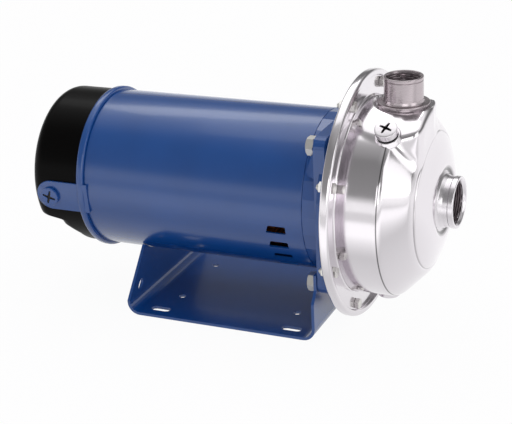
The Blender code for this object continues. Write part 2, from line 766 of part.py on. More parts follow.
def make_rear_cover():
    """The black drawn cover over the motor's rear, stepped in below, with the capacitor inside."""
    cup = cup_profile(SHELL_RADIUS, COVER_FRONT, COVER_REAR, COVER_EDGE)
    cover = turned("rear_cover", cup, PUMP_AXIS, BLACK_ENAMEL, MOTOR_STEPS)
    inside = cup_profile(
        SHELL_RADIUS - COVER_WALL, COVER_FRONT + 0.01, COVER_REAR + COVER_WALL, COVER_EDGE - COVER_WALL
    )
    hollow = turned(
        "cover_hollow",
        inside,
        PUMP_AXIS,
        None,
        MOTOR_STEPS,
    )
    for index, block in enumerate(step_blocks("cover_step", 0.0)):
        cut(cover, new_object(f"cover_step_{index}", block, PUMP_AXIS))
    for index, block in enumerate(step_blocks("hollow_step", COVER_WALL)):
        cut(hollow, new_object(f"hollow_step_{index}", block, PUMP_AXIS))
    hole = cylinder_mesh("cover_hole", COVER_SCREW_SHANK + HOLE_GAP, 0.03, HOLE_STEPS, SHELL_RADIUS - 0.015)
    hole.transform(Matrix.Rotation(math.pi / 2, 4, "Y"))
    holes = ring_of("cover_holes", hole, 0.0, (TAB_ANGLE, -TAB_ANGLE), COVER_SCREW_X)
    cut(cover, hollow, new_object("cover_holes", holes, PUMP_AXIS))


def cross_recess(size, depth, top):
    """The two bars of a cross recess, as one closed cutter."""
    bar = size * 0.2
    first = box_mesh("recess_bar", (size, bar, depth * 2), (0, 0, top))
    second = box_mesh("recess_cross", (bar, size, depth * 2), (0, 0, top))
    return new_object("recess_bar", first, None), new_object("recess_cross", second, None)


def headed_mesh(name, head_radius, head_height, edge, shank_radius, shank_length, recess, depth):
    """A round-headed screw along local Z whose head sits on height zero."""
    tool = turned(
        name + "_tool",
        [
            (head_height, 0.0),
            (head_height, head_radius - edge),
            (head_height - edge * 0.3, head_radius - edge * 0.3),
            (head_height - edge, head_radius),
            (0.0, head_radius),
            (0.0, shank_radius),
            (-shank_length, shank_radius),
            (-shank_length, 0.0),
        ],
        None,
        None,
        SMALL_STEPS,
    )
    cut(tool, *cross_recess(recess, depth, head_height))
    mesh = as_mesh(tool)
    bpy.data.objects.remove(tool, do_unlink=True)
    smooth(mesh)
    return mesh


def make_cover_screws():
    mesh = headed_mesh(
        "cover_screw",
        COVER_SCREW_RADIUS,
        COVER_SCREW_HEAD,
        0.0012,
        COVER_SCREW_SHANK,
        COVER_SCREW_LENGTH,
        COVER_SCREW_RADIUS,
        0.0012,
    )
    for side, name in ((1, "cover_screw_near"), (-1, "cover_screw_far")):
        frame = radial_frame(name + "_frame", COVER_SCREW_X, side * TAB_ANGLE)
        new_object(name, mesh, frame, BLUE_ENAMEL, (0, 0, TAB_OUTER + CLEARANCE))


def make_motor_inside():
    """Stator, windings, rotor, shaft, bearings, fan, switch, capacitor and terminal board."""
    stator = turned(
        "stator_core",
        [
            (STATOR_FRONT, ROTOR_RADIUS + AIR_GAP),
            (STATOR_FRONT, SPIGOT_RADIUS),
            (STATOR_REAR, SPIGOT_RADIUS),
            (STATOR_REAR, ROTOR_RADIUS + AIR_GAP),
        ],
        PUMP_AXIS,
        LAMINATED_STEEL,
        MOTOR_STEPS,
    )
    hole_radius = THROUGH_BOLT_RADIUS + HOLE_GAP
    hole = cylinder_mesh("bolt_hole", hole_radius, STATOR_LENGTH + 0.02, HOLE_STEPS, STATOR_REAR - 0.01)
    bolts = ring_of("stator_bolt_holes", hole, THROUGH_BOLT_CIRCLE, STUD_ANGLES)
    cut(stator, new_object("stator_bolt_holes", bolts, PUMP_AXIS))
    low, high = WINDING_RADII
    for name, start, end in (
        ("winding_front", STATOR_FRONT + CLEARANCE, STATOR_FRONT + WINDING_LENGTH),
        ("winding_rear", STATOR_REAR - WINDING_LENGTH, STATOR_REAR - CLEARANCE),
    ):
        ease = 0.004
        middle = (low + high) / 2
        turned(
            name,
            [
                (end - ease, low),
                (end, middle),
                (end - ease, high),
                (start + ease, high),
                (start, middle),
                (start + ease, low),
            ],
            PUMP_AXIS,
            COPPER_WINDING,
            RING_STEPS,
        )
    front_in, _, front_width = FRONT_BEARING
    rear_in, _, rear_width = REAR_BEARING
    thread_end = PUMP_X + HUB_FRONT + IMPELLER_NUT_HEIGHT
    turned(
        "motor_shaft",
        [
            (thread_end, 0.0),
            (thread_end, PUMP_SHAFT_RADIUS - 0.001),
            (thread_end - 0.001, PUMP_SHAFT_RADIUS),
            (PUMP_X - 0.024, PUMP_SHAFT_RADIUS),
            (PUMP_X - 0.024, front_in - CLEARANCE),
            (FRONT_BEARING_X - CLEARANCE, front_in - CLEARANCE),
            (FRONT_BEARING_X - CLEARANCE, SHAFT_RADIUS),
            (REAR_BEARING_X + rear_width + CLEARANCE, SHAFT_RADIUS),
            (REAR_BEARING_X + rear_width + CLEARANCE, rear_in - CLEARANCE),
            (REAR_BEARING_X, rear_in - CLEARANCE),
            (REAR_BEARING_X, 0.0),
        ],
        ROTOR_AXIS,
        CARBON_STEEL,
        SMALL_STEPS,
    )
    turned(
        "rotor_core",
        [
            (STATOR_FRONT + 0.004, SHAFT_RADIUS + CLEARANCE),
            (STATOR_FRONT + 0.004, ROTOR_RADIUS - 0.004),
            (STATOR_FRONT, ROTOR_RADIUS),
            (STATOR_REAR, ROTOR_RADIUS),
            (STATOR_REAR - 0.004, ROTOR_RADIUS - 0.004),
            (STATOR_REAR - 0.004, SHAFT_RADIUS + CLEARANCE),
        ],
        ROTOR_AXIS,
        LAMINATED_STEEL,
    )
    make_bearing("front_bearing", FRONT_BEARING, FRONT_BEARING_X)
    make_bearing("rear_bearing", REAR_BEARING, REAR_BEARING_X)
    make_fan()
    governor_x = REAR_BEARING_X + rear_width + 0.010
    turned(
        "switch_governor",
        [
            (governor_x + 0.016, SHAFT_RADIUS + 2 * CLEARANCE),
            (governor_x + 0.016, 0.024),
            (governor_x + 0.010, 0.024),
            (governor_x + 0.008, 0.018),
            (governor_x + 0.003, 0.018),
            (governor_x + 0.003, 0.026),
            (governor_x, 0.026),
            (governor_x, SHAFT_RADIUS + 2 * CLEARANCE),
        ],
        ROTOR_AXIS,
        MOULDED_BLACK,
        RING_STEPS,
    )
    web_front = RIM_REAR + 0.005
    new_object(
        "stationary_switch",
        box_mesh(
            "stationary_switch",
            (*SWITCH_SIZE, governor_x - CLEARANCE - web_front - CLEARANCE),
            (SWITCH_RISE, 0, (governor_x + web_front) / 2),
        ),
        PUMP_AXIS,
        MOULDED_BLACK,
    )
    half = CAPACITOR_LENGTH / 2
    capacitor = turned(
        "start_capacitor",
        [
            (half, 0.0),
            (half, CAPACITOR_RADIUS - 0.002),
            (half - 0.002, CAPACITOR_RADIUS),
            (0.002 - half, CAPACITOR_RADIUS),
            (-half, CAPACITOR_RADIUS - 0.002),
            (-half, 0.0),
        ],
        PUMP_AXIS,
        MOULDED_BLACK,
        RING_STEPS,
        (CAPACITOR_RISE, 0, CAPACITOR_X),
    )
    capacitor.rotation_euler = (math.pi / 2, 0, 0)
    new_object(
        "terminal_board",
        box_mesh(
            "terminal_board",
            BOARD_SIZE,
            (-BOARD_DROP, 0, RIM_REAR - BOARD_DEPTH + 0.001 - CLEARANCE - BOARD_SIZE[2] / 2),
        ),
        PUMP_AXIS,
        MOULDED_BLACK,
    )


def make_bearing(name, sizes, start):
    """A deep-groove ball bearing as its outer ring and its inner ring with the balls."""
    bore, outside, width = sizes
    third = (outside - bore) / 3.3
    turned(
        name + "_outer",
        [
            (start + width, outside - third),
            (start + width, outside),
            (start, outside),
            (start, outside - third),
        ],
        PUMP_AXIS,
        CARBON_STEEL,
        RING_STEPS,
    )
    inner = turned(
        name + "_inner",
        [(start + width, bore), (start + width, bore + third), (start, bore + third), (start, bore)],
        ROTOR_AXIS,
        CARBON_STEEL,
        RING_STEPS,
    )
    bm = bmesh.new()
    pitch = (bore + outside) / 2 - 2 * CLEARANCE
    radius = (outside - bore) / 2 - third + CLEARANCE
    for k in range(BALL_COUNT):
        up, near = polar(pitch, 360 * k / BALL_COUNT)
        place = Matrix.Translation((up, near, start + width / 2))
        bmesh.ops.create_uvsphere(bm, u_segments=6, v_segments=4, radius=radius, matrix=place)
    mesh = bpy.data.meshes.new(name + "_balls")
    bm.to_mesh(mesh)
    bm.free()
    join(inner, new_object(name + "_balls", mesh, ROTOR_AXIS))


def make_fan():
    """The internal fan next to the front endshield: a hub, a dished disc and straight radial blades."""
    back = FRONT_BEARING_X - 0.018
    fan = turned(
        "cooling_fan",
        [
            (back + 0.013, SHAFT_RADIUS + CLEARANCE),
            (back + 0.013, 0.020),
            (back + 0.002, 0.022),
            (back + 0.002, FAN_RADIUS * 0.8),
            (back, FAN_RADIUS * 0.8),
            (back, SHAFT_RADIUS + CLEARANCE),
        ],
        ROTOR_AXIS,
        MOULDED_BLACK,
    )
    length = FAN_RADIUS - 0.030
    blade = box_mesh("fan_blade", (length, 0.002, 0.012), (FAN_RADIUS - length / 2, 0, back + 0.007))
    blades = ring_of("fan_blades", blade, 0.0, [360 / FAN_BLADES * k for k in range(FAN_BLADES)])
    join(fan, new_object("fan_blades", blades, ROTOR_AXIS))


def make_through_bolts():
    """Four long bolts that clamp the two endshields on the shell."""
    end = PUMP_X - 0.024
    start = RIM_REAR - CLEARANCE
    shank = cylinder_mesh("bolt_shank", THROUGH_BOLT_RADIUS, end - start + 0.002, HOLE_STEPS, start - 0.002)
    tool = new_object("bolt_shank", shank, None)
    head = new_object("bolt_head", hexagon_mesh("bolt_head", 0.008, 0.0035, start - 0.0035), None)
    join(tool, head)
    mesh = as_mesh(tool)
    for index, angle in enumerate(STUD_ANGLES):
        up, near = polar(THROUGH_BOLT_CIRCLE, angle)
        new_object(f"through_bolt_{index + 1}", mesh, PUMP_AXIS, ZINC_PLATE, (up, near, 0))


def make_seal_plate():
    """The stainless plate behind the casing: a rolled rim, a spigot, a seal pocket and four welded studs."""
    rim_in = FLANGE_RADIUS - FLANGE_RIM_WALL
    front = PUMP_X + PLATE_THICKNESS
    top = PUMP_X + FLANGE_RIM_DEPTH
    spigot = DRUM_INNER - CLEARANCE
    pocket = SEAL_SEAT_RADIUS + CLEARANCE
    pocket_front = front + SEAL_SEAT_LENGTH + CLEARANCE
    through = PUMP_SHAFT_RADIUS + 0.0025
    plate = turned(
        "seal_plate",
        [
            (top, rim_in + 0.0012),
            (top, FLANGE_RADIUS - 0.0015),
            (top - 0.0015, FLANGE_RADIUS),
            (PUMP_X + 0.0015, FLANGE_RADIUS),
            (PUMP_X, FLANGE_RADIUS - 0.0015),
            (PUMP_X, pocket + 0.007),
            (PUMP_X - 0.004, pocket + 0.007),
            (PUMP_X - 0.004, through),
            (front, through),
            (front, pocket),
            (pocket_front, pocket),
            (pocket_front, pocket + 0.005),
            (front, pocket + 0.007),
            (front, spigot - 0.0025),
            (front + 0.008, spigot - 0.0025),
            (front + 0.008, spigot),
            (front, spigot),
            (front, rim_in),
        ],
        PUMP_AXIS,
        POLISHED_STAINLESS,
        CASING_STEPS,
    )
    length = STUD_LENGTH + PLATE_THICKNESS / 2
    stud = cylinder_mesh("stud", STUD_RADIUS, length, SMALL_STEPS, PUMP_X - STUD_LENGTH)
    studs = ring_of("studs", stud, STUD_CIRCLE, STUD_ANGLES)
    holes = ring_of(
        "plate_bolt_holes",
        cylinder_mesh("bolt_hole", CASING_BOLT_RADIUS + HOLE_GAP, 0.02, HOLE_STEPS, PUMP_X - 0.01),
        CASING_BOLT_CIRCLE,
        CASING_BOLT_ANGLES,
        turned_with=False,
    )
    join(plate, new_object("studs", studs, PUMP_AXIS))
    cut(plate, new_object("plate_bolt_holes", holes, PUMP_AXIS))


def dome_at(radius):
    """How far forward the crowned dome stands at a radius, from the crease in to the suction collar's neck."""
    share = (radius - NECK_RADIUS) / (CREASE_RADIUS - NECK_RADIUS)
    return PUMP_X + CREASE_X + DOME_RISE * (1 - max(share, 0.0) ** 1.5)


def flank_at(share):
    """A point on the crowned flank, from the crease at 0 to the drum's edge at 1."""
    fall = CREASE_X - DRUM_DEPTH
    slant = math.hypot(fall, CREASE_FALL)
    crown = FLANK_CROWN * math.sin(math.pi * math.sqrt(share))
    along = PUMP_X + CREASE_X - fall * share + crown * CREASE_FALL / slant
    return along, CREASE_RADIUS + CREASE_FALL * share + crown * fall / slant


def casing_profile(wall):
    """The casing's turned outline from its suction end back: the outer skin, or the hollow a wall inside it."""
    end = PUMP_X + CASING_DEPTH
    flange = CASING_BACK + CASING_FLANGE
    skin = DRUM_RADIUS - wall
    lean = 0.62 * wall
    neck = dome_at(NECK_RADIUS)
    dome = [NECK_RADIUS + (CREASE_RADIUS - NECK_RADIUS) * k / 5 for k in range(6)]
    points = [(dome_at(radius) - wall, radius) for radius in dome[:-1]]
    points.append((PUMP_X + CREASE_X - wall, CREASE_RADIUS - lean / 2))
    flank = [flank_at(share) for share in (0.12, 0.3, 0.6, 1 - DRUM_EDGE / CREASE_FALL)]
    points += [(along - lean, radius - lean) for along, radius in flank]
    points.append((PUMP_X + DRUM_DEPTH - DRUM_EDGE / 2 - lean, skin - DRUM_EDGE * 0.12))
    points.append((PUMP_X + DRUM_DEPTH - DRUM_EDGE - lean, skin))
    if wall:
        seat = CASING_BACK
        corner = O_RING_CHAMFER
        clear = seat - 0.004
        groove = [(seat + corner, skin), (seat, skin + corner), (clear, skin + corner), (clear, 0.0)]
        return [(points[0][0], 0.0)] + points + groove
    collar = [
        (end, 0.0),
        (end, SUCTION_RADIUS - COLLAR_CHAMFER),
        (end - COLLAR_CHAMFER, SUCTION_RADIUS),
        (neck + NECK_FILLET, SUCTION_RADIUS),
        (neck + NECK_FILLET * 0.35, SUCTION_RADIUS + (NECK_RADIUS - SUCTION_RADIUS) * 0.35),
    ]
    back = [
        (flange + 0.0036, skin),
        (flange + 0.0010, skin + 0.0010),
        (flange, skin + 0.0034),
        (flange, FLANGE_RADIUS - FLANGE_RIM_WALL - CLEARANCE),
        (CASING_BACK, FLANGE_RADIUS - FLANGE_RIM_WALL - CLEARANCE),
        (CASING_BACK, 0.0),
    ]
    return collar + points + back


def height_at(points, radius):
    """The height of a turned outline where it passes a radius."""
    for (h0, r0), (h1, r1) in zip(points, points[1:]):
        if min(r0, r1) <= radius <= max(r0, r1) and r0 != r1:
            return h0 + (h1 - h0) * (radius - r0) / (r1 - r0)
    raise ValueError("the outline doesn't reach that radius")


def boss_profile(wall):
    """The round boss under the discharge, turned about the discharge's own axis."""
    r = BOSS_RADIUS - wall
    top = FLAT_HEIGHT + CLEARANCE - wall
    shoulder = [(top, r * 0.84), (top - 0.0024, r * 0.95), (top - 0.0070, r)]
    return [(top, 0.0)] + shoulder + [(BOSS_ROOT, r), (BOSS_ROOT, 0.0)]


def skirt_profile(wall):
    """The wide skirt that leads the water up to the discharge on the near side, turned about the same axis."""
    r = SKIRT_RADIUS - wall
    top = DRUM_RADIUS + SKIRT_TOP - wall
    return [
        (top, 0.0),
        (top - 0.006, r * 0.70),
        (top - 0.013, r * 0.86),
        (top - 0.022, r * 0.95),
        (top - 0.032, r * 0.985),
        (top - 0.046, r),
        (BOSS_ROOT, r),
        (BOSS_ROOT, 0.0),
    ]


def boss_envelope(wall):
    """What the boss may fill: the drum carried forward to a blunt front edge over the dome."""
    x = PUMP_X
    r = DRUM_RADIUS - 0.0006 - wall
    front = x + CREASE_X + 0.0006 - wall
    return [
        (front, 0.0),
        (front, r - 0.010),
        (front - 0.0012, r - 0.0055),
        (front - 0.0040, r - 0.0018),
        (front - 0.0085, r),
        (x + 0.014, r),
        (x + 0.014, 0.0),
    ]


def make_casing():
    """The drawn casing: drum, flank and dome round the shaft, the discharge's boss and the suction collar."""
    up = empty("discharge_axis", None, (PUMP_X + DISCHARGE_X, 0, AXIS_HEIGHT))
    casing = turned("casing", casing_profile(0.0), PUMP_AXIS, POLISHED_STAINLESS, CASING_STEPS)
    hollow = turned("casing_hollow", casing_profile(CASING_WALL), PUMP_AXIS, None, CASING_STEPS)
    reach = 2 * DRUM_RADIUS
    for obj, wall, name in ((casing, 0.0, "boss"), (hollow, CASING_WALL, "boss_hollow")):
        boss = turned(name, boss_profile(wall), up, None, ROUND_STEPS)
        skirt = turned(name + "_skirt", skirt_profile(wall), up, None, ROUND_STEPS)
        near = box_mesh(name + "_near", (reach, reach, reach), (0, -reach / 2 - wall, reach / 2))
        keep(skirt, new_object(name + "_near", near, up))
        join(boss, skirt)
        keep(boss, turned(name + "_envelope", boss_envelope(wall), PUMP_AXIS, None, CASING_STEPS))
        join(obj, boss)
        flat = cylinder_mesh(name + "_flat", FLAT_RADIUS + wall, reach, ROUND_STEPS, FLAT_HEIGHT - wall)
        cut(obj, new_object(name + "_flat", flat, up))
    make_discharge_collar(up)
    seats = []
    for name, along, angle in PLUG_PLACES:
        frame = radial_frame(name + "_seat_frame", along, angle)
        hole = name + "_hole"
        pad = name + "_pad"
        round_pad = cylinder_mesh(pad, PLUG_HEAD_RADIUS + 0.001, 0.014, SMALL_STEPS, PLUG_SEAT_RADIUS - 0.014)
        bore = cylinder_mesh(hole, PLUG_SHANK_RADIUS + HOLE_GAP, 0.04, SMALL_STEPS, PLUG_SEAT_RADIUS - 0.03)
        seats.append((new_object(pad, round_pad, frame), new_object(hole, bore, frame)))
    join(casing, *(pad for pad, _ in seats))
    bores = turned(
        "suction_bore",
        [
            (PUMP_X + CASING_DEPTH + 0.002, 0.0),
            (PUMP_X + CASING_DEPTH + 0.002, SUCTION_BORE + 0.0040),
            (PUMP_X + CASING_DEPTH - 0.002, SUCTION_BORE),
            (PUMP_X + CREASE_X - 0.010, SUCTION_BORE),
            (PUMP_X + CREASE_X - 0.010, 0.0),
        ],
        PUMP_AXIS,
    )
    seat = cylinder_mesh(
        "discharge_seat", DISCHARGE_SPIGOT + CLEARANCE, 0.03, ROUND_STEPS, FLAT_HEIGHT - 0.02
    )
    outlet = new_object("discharge_seat", seat, up)
    holes = ring_of(
        "casing_bolt_holes",
        cylinder_mesh("bolt_hole", CASING_BOLT_RADIUS + HOLE_GAP, 0.02, HOLE_STEPS, CASING_BACK - 0.01),
        CASING_BOLT_CIRCLE,
        CASING_BOLT_ANGLES,
        turned_with=False,
    )
    cut(casing, hollow, bores, outlet, new_object("casing_bolt_holes", holes, PUMP_AXIS))
    cut(casing, *(hole for _, hole in seats))


def make_discharge_collar(up):
    """The threaded collar welded on the boss's flat: a tube, a disc and a spigot through the sheet."""
    disc = COLLAR_DISC_HEIGHT
    seat = FLAT_HEIGHT + CLEARANCE
    spigot = FLAT_HEIGHT - CASING_WALL
    turned(
        "discharge_collar",
        [
            (DISCHARGE_HEIGHT, DISCHARGE_BORE + BORE_CHAMFER * 0.72),
            (DISCHARGE_HEIGHT, DISCHARGE_RADIUS - COLLAR_CHAMFER),
            (DISCHARGE_HEIGHT - COLLAR_CHAMFER, DISCHARGE_RADIUS),
            (disc, DISCHARGE_RADIUS),
            (disc, COLLAR_DISC_RADIUS - COLLAR_CHAMFER),
            (disc - COLLAR_CHAMFER, COLLAR_DISC_RADIUS),
            (seat, COLLAR_DISC_RADIUS),
            (seat, DISCHARGE_SPIGOT),
            (spigot, DISCHARGE_SPIGOT),
            (spigot, DISCHARGE_BORE),
            (DISCHARGE_HEIGHT - BORE_CHAMFER, DISCHARGE_BORE),
        ],
        up,
        POLISHED_STAINLESS,
        ROUND_STEPS,
    )


def make_plugs():
    """The vent plug above and the drain plug below, each with its flat washer."""
    lift = WASHER_THICKNESS + 2 * CLEARANCE
    for name, along, angle in PLUG_PLACES:
        frame = radial_frame(name + "_frame", along, angle)
        mesh = headed_mesh(
            name,
            PLUG_HEAD_RADIUS,
            PLUG_HEAD_HEIGHT,
            0.0016,
            PLUG_SHANK_RADIUS,
            PLUG_SHANK_LENGTH,
            PLUG_HEAD_RADIUS * 0.85,
            0.003,
        )
        new_object(name, mesh, frame, TURNED_STAINLESS, (0, 0, PLUG_SEAT_RADIUS + lift))
        turned(
            name + "_washer",
            [
                (PLUG_SEAT_RADIUS + CLEARANCE + WASHER_THICKNESS, PLUG_SHANK_RADIUS + CLEARANCE),
                (PLUG_SEAT_RADIUS + CLEARANCE + WASHER_THICKNESS, PLUG_HEAD_RADIUS - 0.0004),
                (PLUG_SEAT_RADIUS + CLEARANCE, PLUG_HEAD_RADIUS - 0.0004),
                (PLUG_SEAT_RADIUS + CLEARANCE, PLUG_SHANK_RADIUS + CLEARANCE),
            ],
            frame,
            NITRILE_RUBBER,
            SMALL_STEPS,
        )


def make_casing_fasteners():
    """Eight bolts through the casing's flange and the plate, their nuts behind, and four nuts on the studs."""
    seat = CASING_BACK + CASING_FLANGE + CLEARANCE
    nut_top = PUMP_X - CLEARANCE
    tip = nut_top - CASING_NUT_HEIGHT - CASING_BOLT_SPARE
    shank = new_object(
        "casing_bolt_shank",
        cylinder_mesh("casing_bolt_shank", CASING_BOLT_RADIUS, seat - tip + 0.001, HOLE_STEPS, tip),
        None,
    )
    hexagon = hexagon_mesh("casing_bolt_head", CASING_BOLT_FLATS, CASING_BOLT_HEAD, seat)
    head = new_object("casing_bolt_head", hexagon, None)
    join(head, shank)
    bolt = as_mesh(head)
    nut_back = nut_top - CASING_NUT_HEIGHT
    nut = nut_mesh("casing_nut", CASING_BOLT_FLATS, CASING_NUT_HEIGHT, CASING_BOLT_RADIUS, nut_back, HOLE_STEPS)
    for index, angle in enumerate(CASING_BOLT_ANGLES):
        up, near = polar(CASING_BOLT_CIRCLE, angle)
        new_object(f"casing_bolt_{index + 1}", bolt, PUMP_AXIS, ZINC_PLATE, (up, near, 0))
        new_object(f"casing_nut_{index + 1}", nut, PUMP_AXIS, ZINC_PLATE, (up, near, 0))
    upper = SQUARE_BACK - CLEARANCE - STUD_NUT_HEIGHT
    lower = FOOT_LENGTH / 2 - FOOT_SHEET - CLEARANCE - STUD_NUT_HEIGHT
    stud_nut = nut_mesh("adapter_nut", STUD_NUT_FLATS, STUD_NUT_HEIGHT, STUD_RADIUS, 0.0, SMALL_STEPS)
    for index, angle in enumerate(STUD_ANGLES):
        up, near = polar(STUD_CIRCLE, angle)
        along = upper if up > 0 else lower
        new_object(f"adapter_nut_{index + 1}", stud_nut, PUMP_AXIS, ZINC_PLATE, (up, near, along))


def nut_mesh(name, flats, height, thread, start, steps):
    """A hexagon nut with its bore."""
    tool = new_object(name + "_tool", hexagon_mesh(name, flats, height, start), None)
    bore = cylinder_mesh(name + "_bore", thread + HOLE_GAP, height + 0.01, steps, start - 0.005)
    cut(tool, new_object(name + "_bore", bore, None))
    return as_mesh(tool)


def vane_outline(start, end):
    """A backward-curved vane: a logarithmic spiral from the eye to the rim, half a thickness to each side."""
    lead = 1 / math.tan(math.radians(VANE_ANGLE))
    steps = 6
    sides = ([], [])
    for k in range(steps + 1):
        radius = start * (end / start) ** (k / steps)
        turn = -lead * math.log(radius / start)
        course = turn + math.radians(VANE_ANGLE) - math.pi / 2
        middle = Vector((radius * math.cos(turn), radius * math.sin(turn)))
        across = Vector((-math.sin(course), math.cos(course))) * VANE_THICKNESS / 2
        sides[0].append(tuple(middle + across))
        sides[1].append(tuple(middle - across))
    return sides[0] + sides[1][::-1]


def make_impeller():
    """A closed impeller: back shroud and hub, front shroud with its skirt, and backward-curved vanes between."""
    back = PUMP_X + IMPELLER_BACK
    vane_back = back + IMPELLER_SHROUD
    front = vane_back + IMPELLER_OUTLET
    skirt = IMPELLER_EYE + IMPELLER_SKIRT
    bore = PUMP_SHAFT_RADIUS + CLEARANCE
    impeller = turned(
        "impeller",
        [
            (PUMP_X + HUB_FRONT, bore),
            (PUMP_X + HUB_FRONT, HUB_RADIUS - 0.002),
            (vane_back + 0.004, HUB_RADIUS + 0.004),
            (vane_back, HUB_RADIUS + 0.012),
            (vane_back, IMPELLER_RADIUS),
            (back, IMPELLER_RADIUS),
            (back, HUB_RADIUS + 0.004),
            (PUMP_X + HUB_BACK, HUB_RADIUS),
            (PUMP_X + HUB_BACK, bore),
        ],
        ROTOR_AXIS,
        TURNED_STAINLESS,
        ROUND_STEPS,
    )
    rise = 0.005
    shroud = turned(
        "front_shroud",
        [
            (PUMP_X + IMPELLER_FRONT, IMPELLER_EYE),
            (PUMP_X + IMPELLER_FRONT, skirt),
            (front + rise + 0.006, skirt),
            (front + rise + IMPELLER_SHROUD, skirt + 0.008),
            (front + IMPELLER_SHROUD, IMPELLER_RADIUS),
            (front, IMPELLER_RADIUS),
            (front + rise, skirt + 0.006),
            (front + rise + 0.003, IMPELLER_EYE),
        ],
        ROTOR_AXIS,
        None,
        ROUND_STEPS,
    )
    envelope = turned(
        "vane_envelope",
        [
            (front + rise + 0.004, IMPELLER_EYE - 0.003),
            (front + rise + 0.001, skirt + 0.006),
            (front + 0.001, IMPELLER_RADIUS - 0.0004),
            (vane_back - 0.001, IMPELLER_RADIUS - 0.0004),
            (vane_back - 0.001, IMPELLER_EYE - 0.003),
        ],
        ROTOR_AXIS,
        None,
        ROUND_STEPS,
    )
    outline = vane_outline(IMPELLER_EYE - 0.001, IMPELLER_RADIUS + 0.002)
    vane = plate_mesh("vane", outline, vane_back - 0.002, front + rise + 0.006)
    vanes = ring_of("vanes", vane, 0.0, [360 / VANE_COUNT * k for k in range(VANE_COUNT)])
    blades = new_object("vanes", vanes, ROTOR_AXIS)
    keep(blades, envelope)
    join(impeller, blades, shroud)


def make_wet_end():
    """What turns and seals inside the casing."""
    make_impeller()
    front = PUMP_X + HUB_FRONT
    hexagon = hexagon_mesh("impeller_nut", IMPELLER_NUT_FLATS, IMPELLER_NUT_HEIGHT, front + CLEARANCE)
    nut = new_object("impeller_nut", hexagon, ROTOR_AXIS, TURNED_STAINLESS)
    bore = cylinder_mesh("nut_bore", PUMP_SHAFT_RADIUS + CLEARANCE, 0.03, SMALL_STEPS, front - 0.01)
    cut(nut, new_object("impeller_nut_bore", bore, ROTOR_AXIS))
    seat_x = PUMP_X + PLATE_THICKNESS + CLEARANCE
    head_x = seat_x + SEAL_SEAT_LENGTH + CLEARANCE
    turned(
        "seal_seat",
        [
            (head_x - CLEARANCE, PUMP_SHAFT_RADIUS + 0.0009),
            (head_x - CLEARANCE, SEAL_SEAT_RADIUS),
            (seat_x, SEAL_SEAT_RADIUS),
            (seat_x, PUMP_SHAFT_RADIUS + 0.0009),
        ],
        PUMP_AXIS,
        CERAMIC,
        RING_STEPS,
    )
    turned(
        "seal_rotary_head",
        [
            (head_x + SEAL_HEAD_LENGTH, PUMP_SHAFT_RADIUS + CLEARANCE),
            (head_x + SEAL_HEAD_LENGTH, SPRING_RADIUS + 0.0022),
            (head_x + 0.002, SPRING_RADIUS + 0.0022),
            (head_x, SPRING_RADIUS + 0.0002),
            (head_x, PUMP_SHAFT_RADIUS + CLEARANCE),
        ],
        ROTOR_AXIS,
        CARBON_GRAPHITE,
        RING_STEPS,
    )
    make_spring(head_x + SEAL_HEAD_LENGTH, PUMP_X + HUB_BACK)
    inner = IMPELLER_EYE + IMPELLER_SKIRT + CLEARANCE
    lip = inner + WEAR_RING_WALL + 0.006
    dome = height_at(casing_profile(CASING_WALL), lip) - CLEARANCE
    turned(
        "wear_ring",
        [
            (dome, inner),
            (dome, lip),
            (dome - 0.0022, lip),
            (dome - 0.0022, inner + WEAR_RING_WALL),
            (dome - WEAR_RING_LENGTH, inner + WEAR_RING_WALL),
            (dome - WEAR_RING_LENGTH, inner),
        ],
        PUMP_AXIS,
        TURNED_STAINLESS,
    )
    turned(
        "casing_o_ring",
        [
            (CASING_BACK + O_RING_RADIUS + h, r)
            for r, h in arc((DRUM_INNER + O_RING_RADIUS, 0), O_RING_RADIUS, 45, 333, 4)
        ],
        PUMP_AXIS,
        NITRILE_RUBBER,
        CASING_STEPS,
    )
    slinger_x = PUMP_X - 0.016
    turned(
        "water_slinger",
        [
            (slinger_x + 0.005, PUMP_SHAFT_RADIUS + CLEARANCE),
            (slinger_x + 0.005, 0.012),
            (slinger_x + 0.003, 0.013),
            (slinger_x + 0.003, 0.024),
            (slinger_x, 0.024),
            (slinger_x, PUMP_SHAFT_RADIUS + CLEARANCE),
        ],
        ROTOR_AXIS,
        NITRILE_RUBBER,
        RING_STEPS,
    )


def make_spring(start, end):
    """The seal's coil spring between the rotary head and the impeller's hub."""
    low = start + SPRING_WIRE + CLEARANCE
    high = end - SPRING_WIRE - CLEARANCE
    curve = bpy.data.curves.new("seal_spring", "CURVE")
    curve.dimensions = "3D"
    curve.bevel_depth = SPRING_WIRE
    curve.bevel_resolution = 1
    curve.use_fill_caps = True
    spline = curve.splines.new("POLY")
    per_turn = 10
    count = SPRING_TURNS * per_turn
    spline.points.add(count)
    for k, point in enumerate(spline.points):
        turn = 2 * math.pi * k / per_turn
        height = low + (high - low) * k / count
        point.co = (SPRING_RADIUS * math.cos(turn), SPRING_RADIUS * math.sin(turn), height, 1)
    spring = bpy.data.objects.new("seal_spring", curve)
    spring.parent = ROTOR_AXIS
    curve.materials.append(TURNED_STAINLESS)
    PARTS.objects.link(spring)


def make_all():
    make_foot()
    make_shell()
    make_front_endshield()
    make_rear_endshield()
    make_rear_cover()
    make_cover_screws()
    make_motor_inside()
    make_through_bolts()
    make_seal_plate()
    make_casing()
    make_plugs()
    make_casing_fasteners()
    make_wet_end()


make_all()
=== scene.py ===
"""Looks of a close-coupled centrifugal pump: its drawn casing, enamelled motor, hardware and studio.

Metres, +Z up. The shaft lies along X at the frame's own height, with the suction port at +X.
"""

import math

